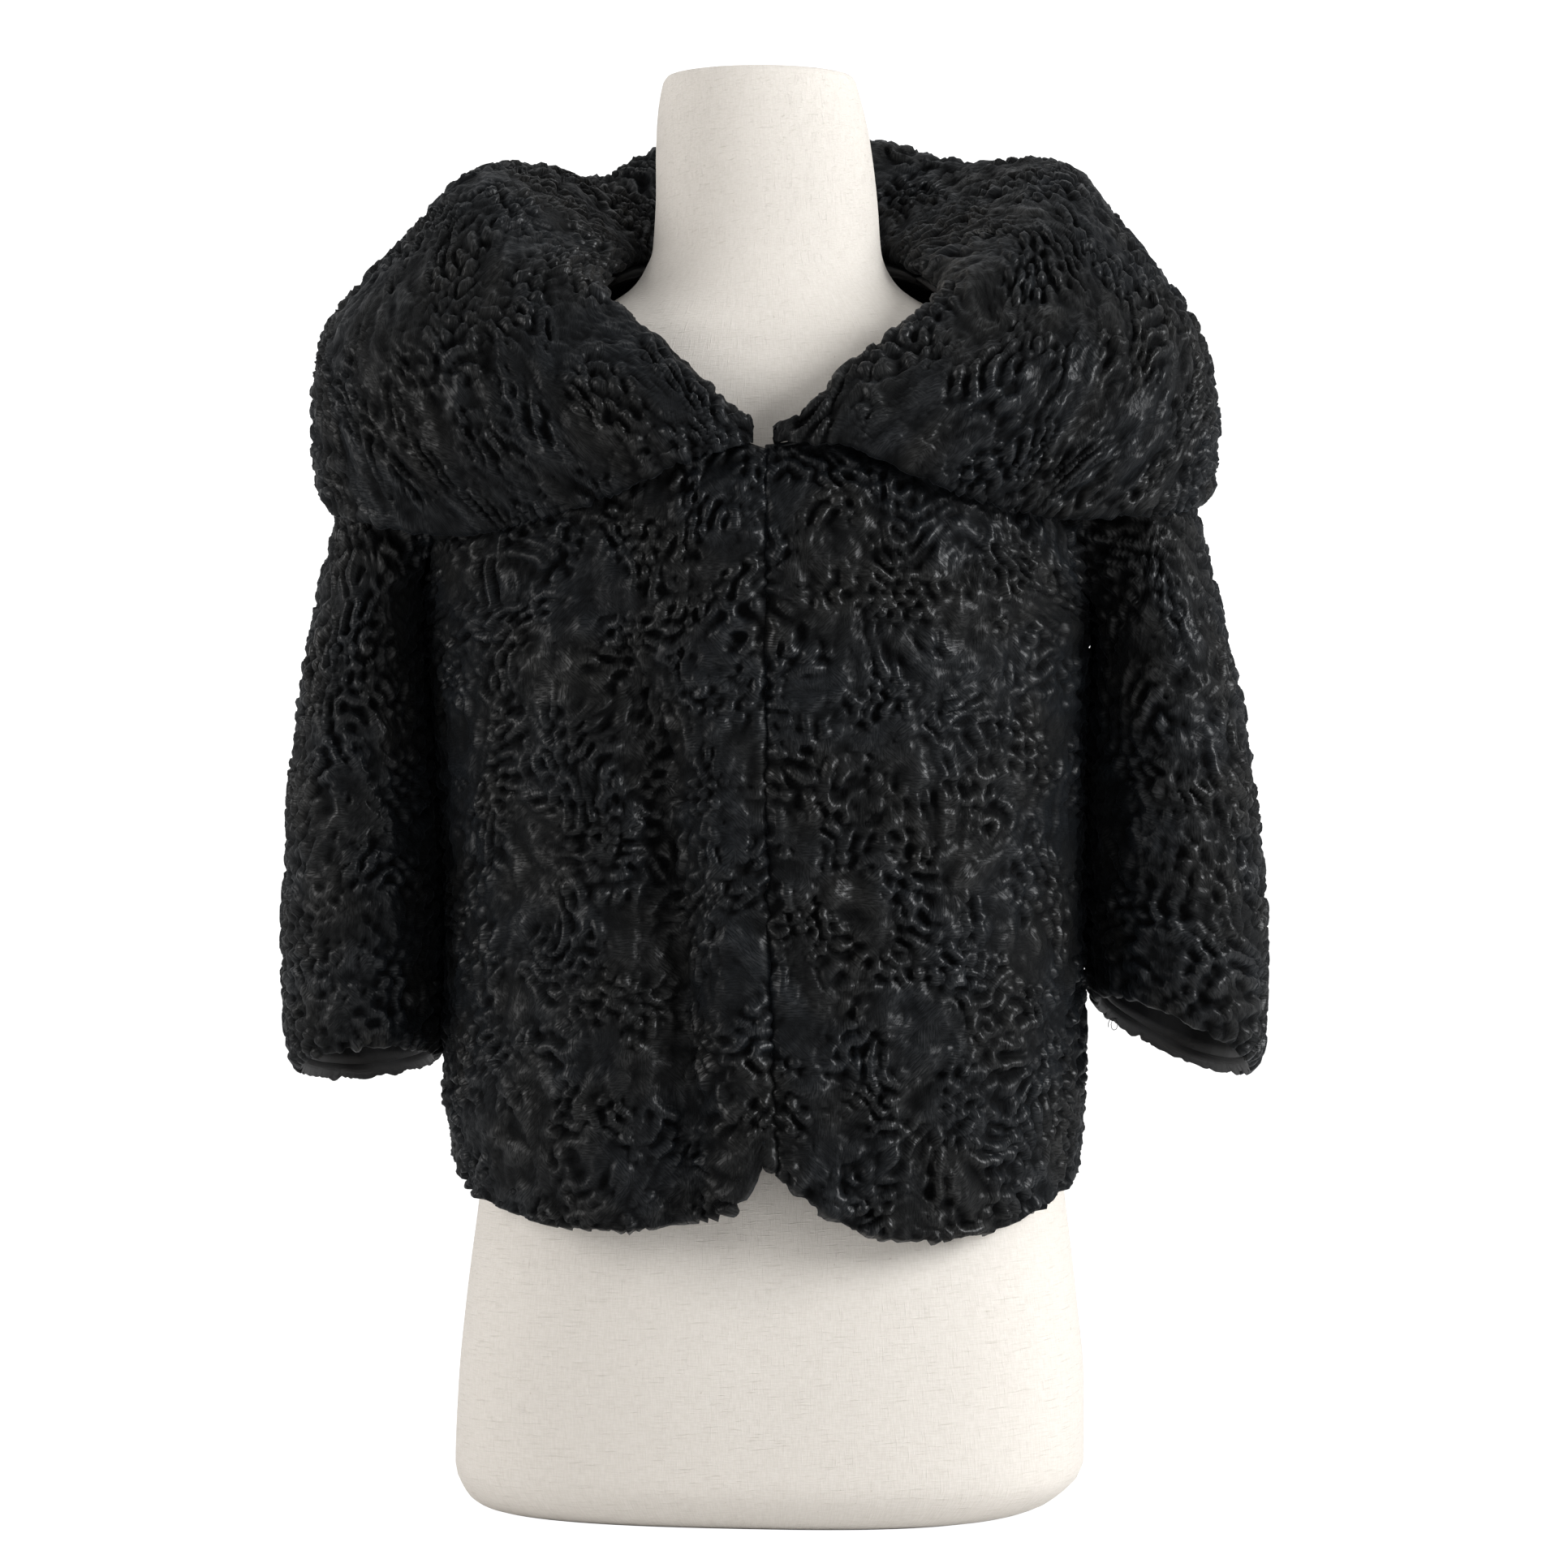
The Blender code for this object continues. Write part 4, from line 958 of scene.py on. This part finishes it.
def buildCollar():
    right, left = collarAngles("Right"), collarAngles("Left")
    whole = np.concatenate([right, left[::-1][1:]])
    middle = collarMiddle(whole)
    away = -normals(middle)
    thick = collarThick(whole)[None]
    face = middle + away * thick[..., None] / 2
    cut = len(right)
    halves = (("left", slice(0, cut), "first", "last"), ("right", slice(cut - 1, None), "last", "first"))
    for name, span, tip, back in halves:
        part, out = face[:, span].copy(), away[:, span]
        end, sign = (-1, 1) if name == "left" else (0, -1)
        part[:, end, 0] += sign * collarValues["backSeam"] / 2
        values = dict(collarCurls, seed=collarCurls["seed"] + (name == "left"))
        piece = furPiece("fur_collar_" + name, "collar_" + name, part, out, fanLie(part), values,
                         {"low": seamEdge, "high": freeEdge, tip: seamEdge, back: seamEdge},
                         innerLook="under", wall=thick[:, span])


# Stray hairs that stand off the edges

hairValues = {"thick": 0.00022, "turns": 1.4, "count": 16, "seed": 8}


def hairTube(path, thick):
    # a thin three-sided tube along a path
    ahead = unit(np.gradient(path, axis=0))
    side = unit(np.cross(ahead, [0.3, 0.5, 0.81]))
    other = np.cross(ahead, side)
    rings = [path + thick * (math.cos(a) * side + math.sin(a) * other) for a in (0, 2.094, 4.189)]
    points = np.stack(rings, 1)
    return points


def buildHairs():
    rng = np.random.default_rng(hairValues["seed"])
    roots = []
    for _ in range(hairValues["count"]):
        angle = rng.uniform(-58, 58)
        z = float(sideRead(hemLine, angle)) + rng.uniform(0.0, 0.012)
        roots.append((bodyPoint(angle, z), bodyNormal(angle, np.float64(z)), rng.uniform(0.0012, 0.0022)))
    roots.append((np.array([-0.121, 0.02, 0.7405]), np.array([0.0, -0.3, 0.95]), 0.0042))
    roots.append((np.array([0.186, -0.05, 0.274]), np.array([-0.3, -0.3, -0.9]), 0.0042))
    points, faces, count = [], [], 0
    for root, out, size in roots:
        out = unit(np.asarray(out, float))
        side = unit(np.cross(out, [0.0, 0.0, 1.0]) + 1e-6)
        lean = unit(np.cross(side, out))
        t = np.linspace(0, 1, 14)
        swing = 2 * np.pi * hairValues["turns"] * t
        path = (root + out * 0.0008 + np.outer(size * (1 - np.cos(swing)) * 0.8, out)
                + np.outer(size * np.sin(swing) * 0.8, lean) + np.outer(size * (t - 0.5) * 0.7, side))
        tube = hairTube(path, hairValues["thick"])
        n = len(path)
        for i in range(n - 1):
            for j in range(3):
                a, b = count + i * 3 + j, count + i * 3 + (j + 1) % 3
                faces.append((a, b, b + 3, a + 3))
        faces.append((count + 2, count + 1, count))
        faces.append(tuple(count + 3 * (n - 1) + j for j in range(3)))
        points.append(tube.reshape(-1, 3))
        count += 3 * n
    points = np.concatenate(points)
    grey = np.full(len(points), 0.6)
    facts = {"lie": ("FLOAT_VECTOR", points), "relief": ("FLOAT", grey),
             "strand": ("FLOAT_COLOR", np.tile([1.0, 0, 0, 0], (len(points), 1)))}
    obj = makeMesh("stray_hairs", points, faces, ("fur",), None, facts)
    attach(obj, "root")
    print("stray hairs done")


# The studio

studio = {
    "lens": 106.6,
    "camera": (0.0036, -2.6, 0.402),
    "background": 1.25,
    "fill": (0.2, 0.8),  # from the room in front, and from the white backdrop
    "floor": 0.8,
    "floorReach": 30.0,
    "floorGlow": 0.85,  # share of the backdrop's white that the camera sees in the floor
    "target": (0, 0, 0.42),
}
lamps = {
    "right": {"place": (2.2, -1.1, 1.25), "size": 1.3, "power": 60, "colour": (0.97, 0.985, 1.0)},
    "left": {"place": (-2.1, -0.9, 1.0), "size": 1.5, "power": 24, "colour": (1.0, 0.99, 0.98)},
    "front": {"place": (0.5, -2.4, 1.9), "size": 1.2, "power": 4, "colour": (0.98, 0.99, 1.0)},
    "top": {"place": (0.1, 0.2, 2.3), "size": 1.3, "power": 3, "colour": (0.95, 0.98, 1.0)},
}


def buildStudio():
    scene = bpy.context.scene
    size = studio["floorReach"]
    floorMesh = bpy.data.meshes.new("floor")
    floorMesh.from_pydata([(-size, -size, 0), (size, -size, 0), (size, size, 0), (-size, size, 0)], [],
                          [(0, 1, 2, 3)])
    floor = bpy.data.objects.new("floor", floorMesh)
    scene.collection.objects.link(floor)
    grey = studio["floor"]
    bench = Bench("studioFloor", {"Roughness": 0.9, "Specular IOR Level": 0.1,
                                  "Base Color": (grey, grey, grey, 1)})
    bright = bench.add("ShaderNodeEmission", {}, {"Color": (1, 1, 1, 1), "Strength": studio["background"]})
    seen = bench.add("ShaderNodeLightPath")
    own = Value(bench, bench.shader.outputs[0])
    both = bench.add("ShaderNodeMixShader", {}, {0: seen * studio["floorGlow"], 1: own, 2: bright})
    bench.put(bench.tree.nodes["Material Output"].inputs["Surface"], both)
    floorMesh.materials.append(bench.material)
    world = bpy.data.worlds.new("studio")
    scene.world = world
    world.use_nodes = True
    tree = world.node_tree
    light = tree.nodes["Background"]
    shown = tree.nodes.new("ShaderNodeBackground")
    light.inputs["Color"].default_value = (1, 1, 1, 1)
    shown.inputs["Color"].default_value = (1, 1, 1, 1)
    along = tree.nodes.new("ShaderNodeSeparateXYZ")
    tree.links.new(tree.nodes.new("ShaderNodeTexCoord").outputs["Generated"], along.inputs[0])
    fill = tree.nodes.new("ShaderNodeMapRange")
    for key, value in zip(("From Min", "From Max", "To Min", "To Max"), (-1.0, 1.0, *studio["fill"])):
        fill.inputs[key].default_value = value
    tree.links.new(along.outputs["Y"], fill.inputs["Value"])
    tree.links.new(fill.outputs["Result"], light.inputs["Strength"])
    shown.inputs["Strength"].default_value = studio["background"]
    path = tree.nodes.new("ShaderNodeLightPath")
    pick = tree.nodes.new("ShaderNodeMixShader")
    tree.links.new(path.outputs["Is Camera Ray"], pick.inputs[0])
    tree.links.new(light.outputs[0], pick.inputs[1])
    tree.links.new(shown.outputs[0], pick.inputs[2])
    tree.links.new(pick.outputs[0], tree.nodes["World Output"].inputs["Surface"])
    target = Vector(studio["target"])
    for name, values in lamps.items():
        data = bpy.data.lights.new(name, "AREA")
        data.shape = "DISK"
        data.size = values["size"]
        data.energy = values["power"]
        data.color = values["colour"]
        lamp = bpy.data.objects.new(name, data)
        lamp.location = values["place"]
        lamp.rotation_euler = (target - Vector(values["place"])).to_track_quat("-Z", "Y").to_euler()
        scene.collection.objects.link(lamp)
    data = bpy.data.cameras.new("camera")
    data.lens = studio["lens"]
    data.sensor_width = 36
    camera = bpy.data.objects.new("camera", data)
    camera.location = studio["camera"]
    camera.rotation_euler = (math.radians(90), 0, 0)
    scene.collection.objects.link(camera)
    scene.camera = camera
    scene.view_settings.view_transform = "Standard"
    print("studio set")


buildForm()
for side in ("left", "right"):
    buildFront(side)
buildBack()
for side in ("left", "right"):
    buildSleeve(side)
buildCollar()
buildHairs()
buildStudio()
